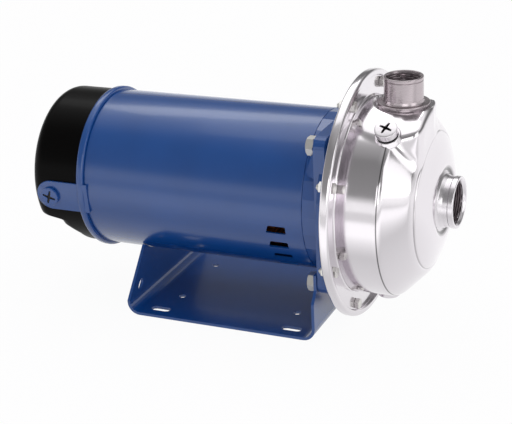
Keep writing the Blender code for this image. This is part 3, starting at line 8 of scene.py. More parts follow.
import bmesh
import bpy
import numpy as np
from bpy.props import FloatProperty, FloatVectorProperty, PointerProperty
from bpy.types import Operator, Panel, PropertyGroup
from mathutils import Matrix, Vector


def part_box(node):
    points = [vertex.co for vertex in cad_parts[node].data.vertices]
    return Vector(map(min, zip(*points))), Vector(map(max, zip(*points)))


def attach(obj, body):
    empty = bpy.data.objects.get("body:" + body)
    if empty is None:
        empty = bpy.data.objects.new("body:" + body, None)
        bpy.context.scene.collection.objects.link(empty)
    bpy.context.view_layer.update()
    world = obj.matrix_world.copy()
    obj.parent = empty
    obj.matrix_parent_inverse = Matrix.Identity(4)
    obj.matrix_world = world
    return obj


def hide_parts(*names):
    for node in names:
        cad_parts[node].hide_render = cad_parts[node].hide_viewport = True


bl_info = {
    "name": "Centrifugal pump looks",
    "version": (1, 0, 0),
    "blender": (4, 5, 0),
    "location": "3D View > Sidebar > Pump",
    "description": "Dresses a centrifugal pump: stainless casing, enamelled motor, zinc hardware and studio",
    "category": "Object",
}

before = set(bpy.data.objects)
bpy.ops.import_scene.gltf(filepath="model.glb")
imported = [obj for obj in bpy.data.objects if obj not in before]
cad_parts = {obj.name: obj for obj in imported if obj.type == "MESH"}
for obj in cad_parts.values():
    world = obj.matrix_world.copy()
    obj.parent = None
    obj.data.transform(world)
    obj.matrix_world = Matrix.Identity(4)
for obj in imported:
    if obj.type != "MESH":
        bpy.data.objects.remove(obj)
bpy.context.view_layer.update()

# Places read from the frame
SHAFT_Z = sum(c.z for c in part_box("motor_shaft")) / 2
PLATE_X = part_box("front_endshield")[1].x + 0.0003
PLATE_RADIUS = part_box("seal_plate")[1].y
SHELL_LOW, SHELL_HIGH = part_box("motor_shell")
OUTLET_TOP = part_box("discharge_collar")[1].z
INLET_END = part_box("casing")[1].x
OUTLET_X = PLATE_X + 0.0444

# Sizes that the panel doesn't show
BOLT_CIRCLE = 0.1124
BOLT_FLATS = 0.010
BOLT_HEAD = 0.0045
STUD_CIRCLE = 0.101
STUD_RADIUS = 0.0047
STUD_NUT_FLATS = 0.017
PLUG_SEAT = 0.0016
THREAD_DEPTH = 0.0011
SHELL_SHEET = 0.002
LOUVRE_SLANT = 0.35
TAB_DEGREES = 95.0
TAB_REACH = 0.0475
TAB_HALF_WIDTH = 0.016
COVER_SHEET = 0.0022
COVER_EDGE = 0.014

# Each plug's name, distance from the plate, angle from the top towards the near side, and its recess's turn
PLUGS = (("vent", 0.046, 33.5, 0.35), ("drain", 0.027, 180.0, 0.8))


def linear(code):
    """A colour's linear parts from its sRGB hex code."""
    parts = [int(code[k : k + 2], 16) / 255 for k in (1, 3, 5)]
    return tuple(c / 12.92 if c <= 0.04045 else ((c + 0.055) / 1.055) ** 2.4 for c in parts)


def size_setting(name, description, default):
    """A length that shows in the panel."""
    return FloatProperty(name=name, description=description, default=default, unit="LENGTH")


def colour_setting(name, description, default):
    """A colour that shows in the panel."""
    return FloatVectorProperty(name=name, description=description, subtype="COLOR", default=default)


class PumpSizes(PropertyGroup):
    """Sizes of the drawn shapes that a user would change."""

    drum_radius: size_setting("Drum radius", "Radius of the casing's drum", 0.0995)
    drum_depth: size_setting("Drum depth", "From the plate to the drum's edge", 0.0485)
    crease_radius: size_setting("Crease radius", "Radius of the dome's crease", 0.069)
    crease_depth: size_setting("Crease depth", "From the plate to the crease", 0.0757)
    flank_crown: size_setting("Flank crown", "Rise of the flank's middle", 0.0015)
    dome_rise: size_setting("Dome rise", "From the crease to the neck", 0.0117)
    neck_radius: size_setting("Neck radius", "Where the dome meets the inlet's neck", 0.030)
    wall: size_setting("Sheet", "Thickness of the drawn sheet", 0.0018)
    boss_radius: size_setting("Boss radius", "Radius of the boss under the outlet", 0.0325)
    skirt_radius: size_setting("Skirt radius", "Reach of the boss's near side", 0.059)
    flat_height: size_setting("Flat height", "From the shaft up to the outlet's flat", 0.096)
    thread_pitch: size_setting("Thread pitch", "Pitch of the pipe threads", 0.00221)


class PumpColours(PropertyGroup):
    """Paint and metal colours that a user would change."""

    enamel: colour_setting("Enamel", "Motor and foot", linear("#14519e"))
    cover: colour_setting("Cover", "Rear cover", linear("#080707"))
    stainless: colour_setting("Stainless", "Casing and plate", linear("#e6e2e6"))
    zinc: colour_setting("Zinc", "Nuts and bolts", linear("#f2f2f0"))
    rubber: colour_setting("Rubber", "Washers and rings", linear("#1c1c1e"))
    backdrop: colour_setting("Backdrop", "Floor and background", (1.0, 1.0, 1.0))


# Geometry


class Axis:
    """A turning axis: a point on it, the way it runs, and the two directions that its angle is counted in."""

    def __init__(self, origin, along, first):
        self.origin = np.array(origin, float)
        self.along = np.array(along, float)
        self.first = np.array(first, float)
        self.second = np.cross(self.along, self.first)

    def points(self, height, radius, turn):
        """Each point is the origin, plus the height along the axis, plus the radius at its angle."""
        height, radius, turn = np.broadcast_arrays(height, radius, turn)
        out = np.cos(turn)[..., None] * self.first + np.sin(turn)[..., None] * self.second
        return self.origin + height[..., None] * self.along + radius[..., None] * out

    def moved(self, height=0.0, first=0.0, second=0.0):
        """The same axis, moved along its three directions."""
        origin = self.origin + height * self.along + first * self.first + second * self.second
        return Axis(origin, self.along, self.first)


SHAFT = Axis((0, 0, SHAFT_Z), (1, 0, 0), (0, 0, 1))
OUTLET = Axis((OUTLET_X, 0, SHAFT_Z), (0, 0, 1), (1, 0, 0))


def radial_axis(x, degrees):
    """The axis that leaves the shaft at a place and an angle from the top towards the near side."""
    turn = math.radians(degrees)
    return Axis((x, 0, SHAFT_Z), (0, -math.sin(turn), math.cos(turn)), (1, 0, 0))


def on_circle(radius, degrees):
    """The axis through a point of the plate, at a radius and an angle from the top."""
    turn = math.radians(degrees)
    return SHAFT.moved(PLATE_X, radius * math.cos(turn), radius * math.sin(turn))


def turns(count):
    """Angles once round, the last one a step short of the first."""
    return np.linspace(0, 2 * math.pi, count, endpoint=False)


def eased(corners, steps=6):
    """A profile from corners: one with a third number gives way to an arc of that radius, touching its sides."""
    corners = [np.array(c, float) for c in corners]
    out = []
    for k, corner in enumerate(corners):
        if len(corner) < 3 or k in (0, len(corners) - 1):
            out.append(corner[:2])
            continue
        here = corner[:2]
        back = corners[k - 1][:2] - here
        ahead = corners[k + 1][:2] - here
        back_length, ahead_length = np.linalg.norm(back), np.linalg.norm(ahead)
        back, ahead = back / back_length, ahead / ahead_length
        half = math.acos(max(-1.0, min(1.0, float(back @ ahead)))) / 2
        reach = min(corner[2] / math.tan(half), back_length * 0.49, ahead_length * 0.49)
        radius = reach * math.tan(half)
        middle = (back + ahead) / np.linalg.norm(back + ahead)
        centre = here + middle * radius / math.sin(half)
        start, end = here + back * reach - centre, here + ahead * reach - centre
        sweep = math.pi - 2 * half
        for t in np.linspace(0, 1, steps + 1):
            a, b = math.sin((1 - t) * sweep), math.sin(t * sweep)
            out.append(centre + (start * a + end * b) / math.sin(sweep))
    return np.array(out)


def eased_ring(corners, steps=6):
    """A closed profile, eased at every corner with a fillet."""
    return eased([corners[-1], *corners, corners[0]], steps)[1:-1]


def revolve(axis, profile, count=160, swell=None):
    """A grid of points: each row's height and radius carried once round the axis, plus a radial swell."""
    turn = turns(count)
    height, radius = profile[:, 0:1], profile[:, 1:2]
    if swell is not None:
        radius = radius + swell(height, turn)
    return axis.points(height, radius, turn)


def thread_wave(height, turn, pitch):
    """A thread's triangle wave, from nought to one, of height over pitch less the share of a turn."""
    phase = np.mod(height / pitch - turn / (2 * math.pi), 1.0)
    return 1 - np.abs(2 * phase - 1)


def spiral(pitch, depth, low, high):
    """A thread as a radial swell that fades at both ends."""

    def swell(height, turn):
        fade = np.clip((height - low) / pitch, 0, 1) * np.clip((high - height) / pitch, 0, 1)
        return depth * thread_wave(height, turn, pitch) * fade

    return swell


def faces_of(rows, columns, wrap_rows, start):
    """The four corners of each cell of a grid whose columns go once round, by index."""
    i = np.arange(rows if wrap_rows else rows - 1)[:, None]
    j = np.arange(columns)[None, :]
    i2, j2 = (i + 1) % rows, (j + 1) % columns
    corners = (i * columns + j, i * columns + j2, i2 * columns + j2, i2 * columns + j)
    return np.stack(np.broadcast_arrays(*corners), -1).reshape(-1, 4) + start


def piece(name, grids, stuff, body="root", replaces=(), sharp=32.0):
    """One object from closed grids, each given as its points and whether its last row meets its first."""
    verts, faces, start = [], [], 0
    for points, wrap_rows in grids:
        rows, columns = points.shape[:2]
        verts.append(points.reshape(-1, 3))
        faces.append(faces_of(rows, columns, wrap_rows, start))
        start += rows * columns
    mesh = bpy.data.meshes.new(name)
    mesh.from_pydata(np.concatenate(verts), [], np.concatenate(faces).tolist())
    bm = bmesh.new()
    bm.from_mesh(mesh)
    bmesh.ops.remove_doubles(bm, verts=bm.verts, dist=1e-7)
    bmesh.ops.dissolve_degenerate(bm, edges=bm.edges, dist=1e-7)
    bmesh.ops.recalc_face_normals(bm, faces=bm.faces)
    bm.to_mesh(mesh)
    bm.free()
    mesh.shade_smooth()
    mesh.set_sharp_from_angle(angle=math.radians(sharp))
    made = bpy.data.objects.new(name, mesh)
    mesh.materials.append(stuff)
    bpy.context.scene.collection.objects.link(made)
    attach(made, body)
    if replaces:
        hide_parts(*replaces)
    return made


def shade_chosen_faces(obj, axis, stuff, chosen):
    """Gives a darker second material, for painted shade, to the faces whose height and radius about an axis are
    chosen.
    """
    count = len(obj.data.polygons)
    middles = np.empty(count * 3)
    obj.data.polygons.foreach_get("center", middles)
    offset = middles.reshape(-1, 3) - axis.origin
    height = offset @ axis.along
    radius = np.linalg.norm(offset - height[:, None] * axis.along, axis=1)
    obj.data.materials.append(stuff)
    obj.data.polygons.foreach_set("material_index", chosen(height, radius).astype(np.int32))


def cut_away(obj, cutters):
    """Cuts closed pieces out of an object, keeps the result as its mesh and removes the cutters."""
    for cutter in cutters:
        modifier = obj.modifiers.new("cut", "BOOLEAN")
        modifier.operation = "DIFFERENCE"
        modifier.solver = "EXACT"
        modifier.object = cutter
    bpy.context.view_layer.update()
    mesh = bpy.data.meshes.new_from_object(obj.evaluated_get(bpy.context.evaluated_depsgraph_get()))
    obj.modifiers.clear()
    obj.data = mesh
    for cutter in cutters:
        bpy.data.objects.remove(cutter, do_unlink=True)
    mesh.shade_smooth()
    mesh.set_sharp_from_angle(angle=math.radians(30))


def slot_outline(length, width, corner, count=12):
    """A slot's outline: a rectangle whose corners are arcs."""
    points = []
    for quarter, (sx, sy) in enumerate(((1, 1), (-1, 1), (-1, -1), (1, -1))):
        turn = np.linspace(0, math.pi / 2, count) + quarter * math.pi / 2
        along = sx * (length / 2 - corner) + corner * np.cos(turn)
        across = sy * (width / 2 - corner) + corner * np.sin(turn)
        points.append(np.stack([along, across], -1))
    return np.concatenate(points)


def prism(name, outline, axis, low, high, stuff):
    """A closed prism: an outline carried along an axis, with its ends drawn to their middle."""
    middle = outline.mean(0)
    rows = []
    for share, height in ((0.0, low), (1.0, low), (1.0, high), (0.0, high)):
        spot = middle + (outline - middle) * share
        flat = spot[:, 0:1] * axis.first + spot[:, 1:2] * axis.second
        rows.append(axis.origin + height * axis.along + flat)
    return piece(name, [(np.stack(rows), False)], stuff)


# Materials


def add(tree, kind, values=None, links=None, **settings):
    """Adds a shader node, sets its properties and input values, and links sockets to its inputs."""
    node = tree.nodes.new("ShaderNode" + kind)
    for key, value in settings.items():
        setattr(node, key, value)
    for key, value in (values or {}).items():
        node.inputs[key].default_value = value
    for key, socket in (links or {}).items():
        tree.links.new(socket, node.inputs[key])
    return node


def ramp(tree, factor, stops):
    """A colour ramp from (position, grey or colour) stops."""
    node = add(tree, "ValToRGB", links={"Fac": factor})
    elements = node.color_ramp.elements
    while len(elements) < len(stops):
        elements.new(0.5)
    for element, (position, colour) in zip(elements, stops):
        element.position = position
        element.color = (*colour, 1.0) if isinstance(colour, tuple) else (colour, colour, colour, 1.0)
    return node.outputs["Color"]


def maths(tree, operation, first, second):
    """The result of a maths node on two sockets or numbers."""
    values, links = {}, {}
    for key, item in ((0, first), (1, second)):
        kept = values if isinstance(item, (int, float)) else links
        kept[key] = item
    return add(tree, "Math", values, links, operation=operation).outputs["Value"]


def share_between(tree, value, low, high):
    """How far a value has gone from low to high, from nought to one."""
    node = add(tree, "MapRange", {"From Min": low, "From Max": high}, {"Value": value})
    return node.outputs["Result"]


def mix_shaders(tree, share, first, second):
    """The first shader where the share is nought, the second where it is one."""
    return add(tree, "MixShader", links={0: share, 1: first, 2: second}).outputs["Shader"]


def object_points(tree, stretch=(1, 1, 1), place=(0, 0, 0)):
    """Object coordinates, stretched and moved."""
    coordinates = add(tree, "TexCoord").outputs["Object"]
    values = {"Scale": stretch, "Location": place}
    return add(tree, "Mapping", values, {"Vector": coordinates}).outputs["Vector"]


class Finish:
    """A new material, with short ways to feed its shader."""

    def __init__(self, name, roughness=0.5, metallic=0.0, colour=(0.8, 0.8, 0.8)):
        self.material = bpy.data.materials.new(name)
        self.material.use_nodes = True
        self.tree = self.material.node_tree
        self.shader = self.tree.nodes["Principled BSDF"]
        self.set("Roughness", roughness)
        self.set("Metallic", metallic)
        self.set("Base Color", (*colour, 1.0))

    def set(self, socket, value):
        self.shader.inputs[socket].default_value = value

    def noise(self, size, detail=2.0, rough=0.5, stretch=(1, 1, 1)):
        """Noise whose patches measure about a size in millimetres."""
        values = {"Scale": 1000.0 / size, "Detail": detail, "Roughness": rough}
        links = {"Vector": object_points(self.tree, stretch)}
        return add(self.tree, "TexNoise", values, links).outputs["Fac"]

    def wave(self, kind, size, distortion):
        """Bands along X or rings round it, about a size in millimetres apart."""
        values = {"Scale": 50.0 / size, "Distortion": distortion}
        links = {"Vector": object_points(self.tree)}
        return add(self.tree, "TexWave", values, links, wave_type=kind).outputs["Fac"]

    def ramp(self, socket, factor, *stops):
        """Feeds an input through a ramp of (position, grey or colour) stops."""
        self.tree.links.new(ramp(self.tree, factor, stops), self.shader.inputs[socket])

    def relief(self, height, strength, depth_mm, over=None):
        """Bumps the normal by a height, over another normal if one is given."""
        links = {"Height": height}
        if over is not None:
            links["Normal"] = over
        values = {"Strength": strength, "Distance": depth_mm / 1000}
        normal = add(self.tree, "Bump", values, links).outputs["Normal"]
        self.tree.links.new(normal, self.shader.inputs["Normal"])
        return normal


def scaled(colour, share):
    """A colour made darker or paler, white at most."""
    return tuple(min(1.0, c * share) for c in colour)


def sprayed_enamel(name, colour, roughness, gloss, peel_mm=1.6, dust=0.06):
    """Air-dried enamel, sprayed: a film with orange peel a millimetre or two across and a little dust."""
    made = Finish(name, roughness)
    made.set("Specular IOR Level", gloss)
    made.set("Coat Weight", gloss * 0.7)
    made.set("Coat Roughness", 0.12)
    made.set("Coat IOR", 1.5)
    dark, pale = scaled(colour, 1 - dust), scaled(colour, 1 + dust)
    made.ramp("Base Color", made.noise(46.0), (0.3, dark), (0.7, pale))
    made.relief(made.noise(peel_mm, 1.0), 0.10, 0.02)


def near_rings(tree, rings):
    """Nought on any of the rings round the shaft, given as (x, radius, reach), and one beyond their reach."""
    split = add(tree, "SeparateXYZ", links={"Vector": object_points(tree)})
    across = object_points(tree, (0, 1, 1), (0, 0, -SHAFT_Z))
    radius = add(tree, "VectorMath", links={0: across}, operation="LENGTH").outputs["Value"]
    spot = add(tree, "CombineXYZ", links={"X": split.outputs["X"], "Y": radius}).outputs["Vector"]
    nearest = None
    for x, r, reach in rings:
        away = add(tree, "VectorMath", {1: (x, r, 0.0)}, {0: spot}, operation="DISTANCE")
        share = maths(tree, "DIVIDE", away.outputs["Value"], reach)
        nearest = share if nearest is None else maths(tree, "MINIMUM", share, nearest)
    return nearest


def drawn_stainless(name, colour, roughness, shaded_creases=()):
    """Austenitic stainless sheet, deep drawn and buffed: bright, slightly wavy, with faint buffing lines.

    Where rings are given, the base colour darkens to near black at them: painted shade in the casing's creases
    and round the inlet's neck.
    """
    made = Finish(name, metallic=1.0, colour=colour)
    if shaded_creases:
        # painted shade: the base colour darkens near the given rings
        made.ramp("Base Color", near_rings(made.tree, shaded_creases), (0.30, scaled(colour, 0.22)), (1.0, colour))
    lines = made.noise(1.1, rough=0.6, stretch=(1.0, 0.12, 0.12))
    made.ramp("Roughness", lines, (0.3, roughness * 0.82), (0.75, roughness * 1.25))
    soft = made.relief(made.noise(38.0, 1.0), 0.25, 0.35)
    made.relief(lines, 0.05, 0.02, soft)


def turned_stainless(name, colour, roughness, axis):
    """Stainless bar, turned on a lathe: fine rings round its own axis, wider than real so that they show."""
    made = Finish(name, metallic=1.0, colour=colour)
    stretch = [0.04, 0.04, 0.04]
    stretch["XYZ".index(axis)] = 1.0
    rings = made.noise(0.7, rough=0.6, stretch=stretch)
    made.ramp("Roughness", rings, (0.3, roughness * 0.8), (0.7, roughness * 1.3))
    made.relief(rings, 0.25, 0.03)


def zinc_plate(name, colour, roughness):
    """Bright zinc plate on steel: silvery, cloudy in patches of a few millimetres."""
    made = Finish(name, metallic=1.0)
    cloud = made.noise(3.0, 3.0)
    made.ramp("Base Color", cloud, (0.35, scaled(colour, 0.86)), (0.65, colour))
    made.ramp("Roughness", cloud, (0.3, roughness * 1.3), (0.7, roughness * 0.85))
    made.relief(made.noise(0.4), 0.15, 0.02)


def ground_steel(name, colour, roughness):
    """Bearing steel, ground: grey, with a fine grain along the shaft's turns."""
    made = Finish(name, metallic=1.0, colour=colour)
    grain = made.noise(0.5, stretch=(1.0, 0.05, 0.05))
    made.ramp("Roughness", grain, (0.3, roughness * 0.85), (0.7, roughness * 1.2))


def stacked_laminations(name, colour):
    """Electrical sheet, punched and stacked along the shaft: half-millimetre lines, drawn twice as coarse."""
    made = Finish(name, 0.5, 0.7)
    lines = made.wave("BANDS", 1.0, 0.2)
    made.ramp("Base Color", lines, (0.2, scaled(colour, 0.5)), (0.6, colour))
    made.relief(lines, 0.4, 0.15)


def varnished_winding(name, colour):
    """Enamelled copper wire in a varnished bundle: round strands a millimetre across, under amber varnish."""
    made = Finish(name, 0.35, 0.6)
    made.set("Coat Weight", 0.5)
    strands = made.wave("RINGS", 1.2, 3.0)
    made.ramp("Base Color", strands, (0.15, scaled(colour, 0.35)), (0.6, colour))
    made.relief(strands, 0.7, 0.5)


def moulded(name, colour, roughness, grain_mm, depth_mm):
    """A moulded or dull surface: rubber, phenolic, carbon or ceramic, finely grained; also used for the
    near-black painted shade in cross recesses.
    """
    made = Finish(name, roughness)
    pale = tuple(min(1.0, c * 1.25 + 0.002) for c in colour)
    made.ramp("Base Color", made.noise(grain_mm * 8, 3.0), (0.35, colour), (0.7, pale))
    made.relief(made.noise(grain_mm), 0.35, depth_mm)


def finishes(context):
    """The finishes by name, made once."""
    if "enamel_blue" in bpy.data.materials:
        return bpy.data.materials
    sizes, colours = context.scene.pump_sizes, context.scene.pump_colours
    bright, rubber = tuple(colours.stainless), tuple(colours.rubber)
    # Rings that get painted shade, as x, radius and reach: the dome's crease, the drum's edge and the inlet's
    # neck
    shaded_creases = (
        (PLATE_X + sizes.crease_depth, sizes.crease_radius, 0.0011),
        (PLATE_X + sizes.drum_depth - 0.0008, sizes.drum_radius - 0.0008, 0.0009),
        (PLATE_X + 0.0848, 0.0312, 0.0050),
    )
    sprayed_enamel("enamel_blue", tuple(colours.enamel), 0.26, 0.65)
    sprayed_enamel("enamel_black", tuple(colours.cover), 0.34, 0.05, 2.2, 0.15)
    drawn_stainless("drawn_stainless", bright, 0.13)
    drawn_stainless("casing_stainless_shaded_creases", bright, 0.13, shaded_creases)
    turned_stainless("turned_stainless_x", bright, 0.22, "X")
    # a darker copy of the bright turned stainless, as painted shade on the outlet's collar
    turned_stainless("turned_stainless_z_shaded", linear("#bcb2b6"), 0.25, "Z")
    turned_stainless("plug_stainless", bright, 0.22, "Z")
    # the threaded bores' faces, darkened as painted shade
    turned_stainless("bore_thread_painted_shade", linear("#6f666a"), 0.42, "X")
    # near-black painted shade for the floors of the plugs' and the cover screws' cross recesses
    moulded("painted_recess_shade", linear("#0b0a0b"), 0.6, 0.4, 0.01)
    zinc_plate("zinc_plate", tuple(colours.zinc), 0.36)
    ground_steel("ground_steel", linear("#a2a4a8"), 0.28)
    stacked_laminations("stacked_laminations", linear("#6c6e72"))
    varnished_winding("varnished_winding", linear("#a9602d"))
    moulded("moulded_nitrile", rubber, 0.62, 0.5, 0.04)
    moulded("moulded_phenolic", linear("#1b1a1b"), 0.42, 0.8, 0.03)
    moulded("lapped_carbon", linear("#333436"), 0.3, 0.4, 0.01)
    moulded("lapped_ceramic", linear("#ece7dc"), 0.2, 0.5, 0.01)
    return bpy.data.materials


# Casing


def soft_most(a, b, reach):
    """The larger of two fields, rounded where they meet within a reach."""
    gap = np.maximum(reach - np.abs(a - b), 0) / reach
    return np.maximum(a, b) + gap * gap * reach / 4


def soft_least(a, b, reach):
    """The smaller of two fields, rounded the same way."""
    return -soft_most(-a, -b, reach)


def casing_field(sizes, x, up, near, wall):
    """Below zero inside the drawn casing: drum, flank and dome round the shaft, joined by the outlet's boss.

    The flank is straight in distance along the shaft over radius, crowned by a half sine wave. The dome
    falls from its neck by the 1.5th power of the share of its radius, and is pressed in a little round the
    neck. The boss is a cylinder round the outlet's axis with a wide skirt on the near side, kept within the
    drum's radius and behind a blunt front. The flat under the outlet is taken off last.
    """
    radius = np.hypot(up, near)
    run, fall = sizes.crease_depth - sizes.drum_depth, sizes.drum_radius - sizes.crease_radius
    drum = radius - (sizes.drum_radius - wall)
    share = np.clip((radius - sizes.crease_radius) / fall, 0, 1)
    crown = sizes.flank_crown * np.sin(math.pi * np.sqrt(share))
    slant = (x - sizes.drum_depth) * fall + (radius - sizes.drum_radius) * run
    flank = slant / math.hypot(run, fall) - crown + wall
    inward = np.maximum(radius - sizes.neck_radius, 0) / (sizes.crease_radius - sizes.neck_radius)
    pressed = 0.0030 * np.clip((0.0385 - radius) / 0.0075, 0, 1) ** 1.5
    dome = (x - sizes.crease_depth - sizes.dome_rise * (1 - inward ** 1.5) + pressed + wall) * 0.95
    crease = 0.0007 * np.exp(-(((radius - sizes.crease_radius) / 0.0009) ** 2))
    body = soft_most(soft_most(drum, flank, 0.0035), dome, 0.0010) + crease
    across = np.hypot(x - (OUTLET_X - PLATE_X), near)
    core = across - (sizes.boss_radius - wall)
    flare = sizes.skirt_radius * np.sqrt(np.clip(1 - (np.maximum(up - 0.050, 0) / 0.066) ** 4, 0.01, 1))
    skirt = soft_most(across - (flare - wall), wall - near, 0.006)
    roof = radius - (sizes.drum_radius - 0.0006 - wall)
    front = x - (sizes.crease_depth + 0.0012 - wall)
    boss = soft_most(soft_most(soft_least(core, skirt, 0.010), roof, 0.003), front, 0.009)
    joined = soft_least(body, soft_most(boss, 0.030 - up, 0.004), 0.006)
    flat = np.minimum(0.0285 - across, up - (sizes.flat_height - wall))
    return soft_most(joined, flat, 0.0025)


def casing_skin(sizes, wall, rows, columns):
    """The casing's skin: rays from inside, in half-planes through the shaft, end where the field is zero."""
    turn = turns(columns)[None, :]
    centre_x, centre_r = 0.030, 0.046
    back = math.atan2(sizes.drum_radius - wall - centre_r, 0.0105 - centre_x)
    mouth = math.atan2(0.0315 - centre_r, 0.0836 - centre_x)
    angle = np.linspace(back, mouth, rows)[:, None]
    low = np.zeros((rows, columns))
    high = np.full((rows, columns), 0.12)
    for _ in range(34):
        middle = (low + high) / 2
        x = centre_x + middle * np.cos(angle)
        radius = centre_r + middle * np.sin(angle)
        outside = casing_field(sizes, x, radius * np.cos(turn), radius * np.sin(turn), wall) > 0
        high = np.where(outside, middle, high)
        low = np.where(outside, low, middle)
    x = centre_x + low * np.cos(angle)
    radius = centre_r + low * np.sin(angle)
    return SHAFT.points(PLATE_X + x, radius, turn)


class PUMP_OT_casing(Operator):
    """Draw the stainless casing's skin, its flange and its vent and drain pads"""

    bl_idname = "pump.casing"
    bl_label = "Casing"

    def execute(self, context):
        sizes = context.scene.pump_sizes
        stuff = finishes(context)["casing_stainless_shaded_creases"]
        rows, columns = 210, 400
        outer = casing_skin(sizes, 0.0, rows, columns)
        inner = casing_skin(sizes, sizes.wall, 90, columns)
        flange = [
            (0.0094, sizes.drum_radius),
            (0.0058, sizes.drum_radius, 0.0034),
            (0.0058, 0.1190, 0.0008),
            (0.0033, 0.1190, 0.0008),
            (0.0033, sizes.drum_radius + 0.0018),
            (0.0069, sizes.drum_radius - sizes.wall),
        ]
        profile = eased(flange)[1:]
        profile[:, 0] += PLATE_X
        rim = revolve(SHAFT, profile, columns)
        neck = revolve(SHAFT, np.array([[PLATE_X + 0.0841, 0.0285], [PLATE_X + 0.0822, 0.0272]]), columns)
        loop = np.concatenate([rim[::-1], outer, neck, inner[::-1]])
        piece("casing_drawn", [(loop, True)], stuff, replaces=["casing"], sharp=50.0)
        seat = sizes.drum_radius + PLUG_SEAT
        pad = eased([
            (seat - 0.006, 0.0065),
            (seat - 0.006, 0.0150, 0.001),
            (seat - 0.0026, 0.0132, 0.003),
            (seat, 0.0120, 0.001),
            (seat, 0.0065),
        ])
        for name, x, degrees, _ in PLUGS:
            axis = radial_axis(PLATE_X + x, degrees)
            piece(name + "_pad", [(revolve(axis, pad, 72), True)], stuff)
        return {"FINISHED"}


def threaded_collar(name, axis, outside, bore, top, counts, cut, stuff, replaces=()):
    """A collar turned about an axis, its bore cut with a pipe thread.

    The bore is given as its mouth's and its far end's (height, radius), the counts as the points round the
    axis and the rows down the bore, and the cut as the radius and the height below which the faces get painted
    shade.
    """
    (mouth, mouth_radius), (end, end_radius) = bore
    columns, steps = counts
    bore = np.stack([np.linspace(mouth, end, steps), np.linspace(mouth_radius, end_radius, steps)], -1)
    profile = np.concatenate([eased(outside)[1:-1], bore])
    swell = spiral(bpy.context.scene.pump_sizes.thread_pitch, THREAD_DEPTH, end + 0.002, top - 0.001)
    threaded = profile[:, 1:2] < mouth_radius + 0.0002
    grid = revolve(axis, profile, columns, lambda h, t: swell(h, t) * threaded)
    made = piece(name, [(grid, True)], stuff, replaces=replaces)
    shade_chosen_faces(made, axis, bpy.data.materials["bore_thread_painted_shade"], lambda h, r: (r < cut[0]) & (h < cut[1]))


class PUMP_OT_ports(Operator):
    """Turn the two threaded collars and the disc that the outlet stands on"""

    bl_idname = "pump.ports"
    bl_label = "Ports"

    def execute(self, context):
        sizes = context.scene.pump_sizes
        stuffs = finishes(context)
        low, high = INLET_END - 0.0205, INLET_END
        outside = [
            (low, 0.0204),
            (low, 0.0270),
            (PLATE_X + 0.0832, 0.0322, 0.001),
            (PLATE_X + 0.0862, 0.0276, 0.0030),
            (PLATE_X + 0.0900, 0.0257, 0.002),
            (high - 0.0058, 0.0255, 0.0004),
            (high - 0.0052, 0.0262, 0.0005),
            (high, 0.0262, 0.0011),
            (high, 0.0236, 0.0007),
            (high - 0.0022, 0.0214),
        ]
        bore = (high - 0.0022, 0.0214), (low, 0.0204)
        cut = 0.0222, high - 0.0030
        stuff = stuffs["turned_stainless_x"]
        threaded_collar("suction_collar", SHAFT, outside, bore, high, (180, 90), cut, stuff)

        top = OUTLET_TOP - SHAFT_Z
        disc = sizes.flat_height + 0.0038
        bottom = disc - 0.0075
        outside = [
            (bottom, 0.0154),
            (bottom, 0.0190),
            (sizes.flat_height - 0.0006, 0.0190),
            (sizes.flat_height - 0.0002, 0.0256, 0.0008),
            (disc, 0.0258, 0.0009),
            (disc, 0.0200, 0.0010),
            (disc + 0.0030, 0.0193, 0.0006),
            (top - 0.0042, 0.0193, 0.0004),
            (top - 0.0037, 0.0186, 0.0004),
            (top - 0.0032, 0.0195, 0.0006),
            (top, 0.0195, 0.0009),
            (top, 0.0176, 0.0006),
            (top - 0.0018, 0.0163),
        ]
        bore = (top - 0.0018, 0.0163), (bottom, 0.0154)
        cut = 0.0168, top - 0.0024
        stuff = stuffs["turned_stainless_z_shaded"]
        name, replaced = "discharge_collar_turned", ["discharge_collar"]
        threaded_collar(name, OUTLET, outside, bore, top, (150, 110), cut, stuff, replaced)
        return {"FINISHED"}


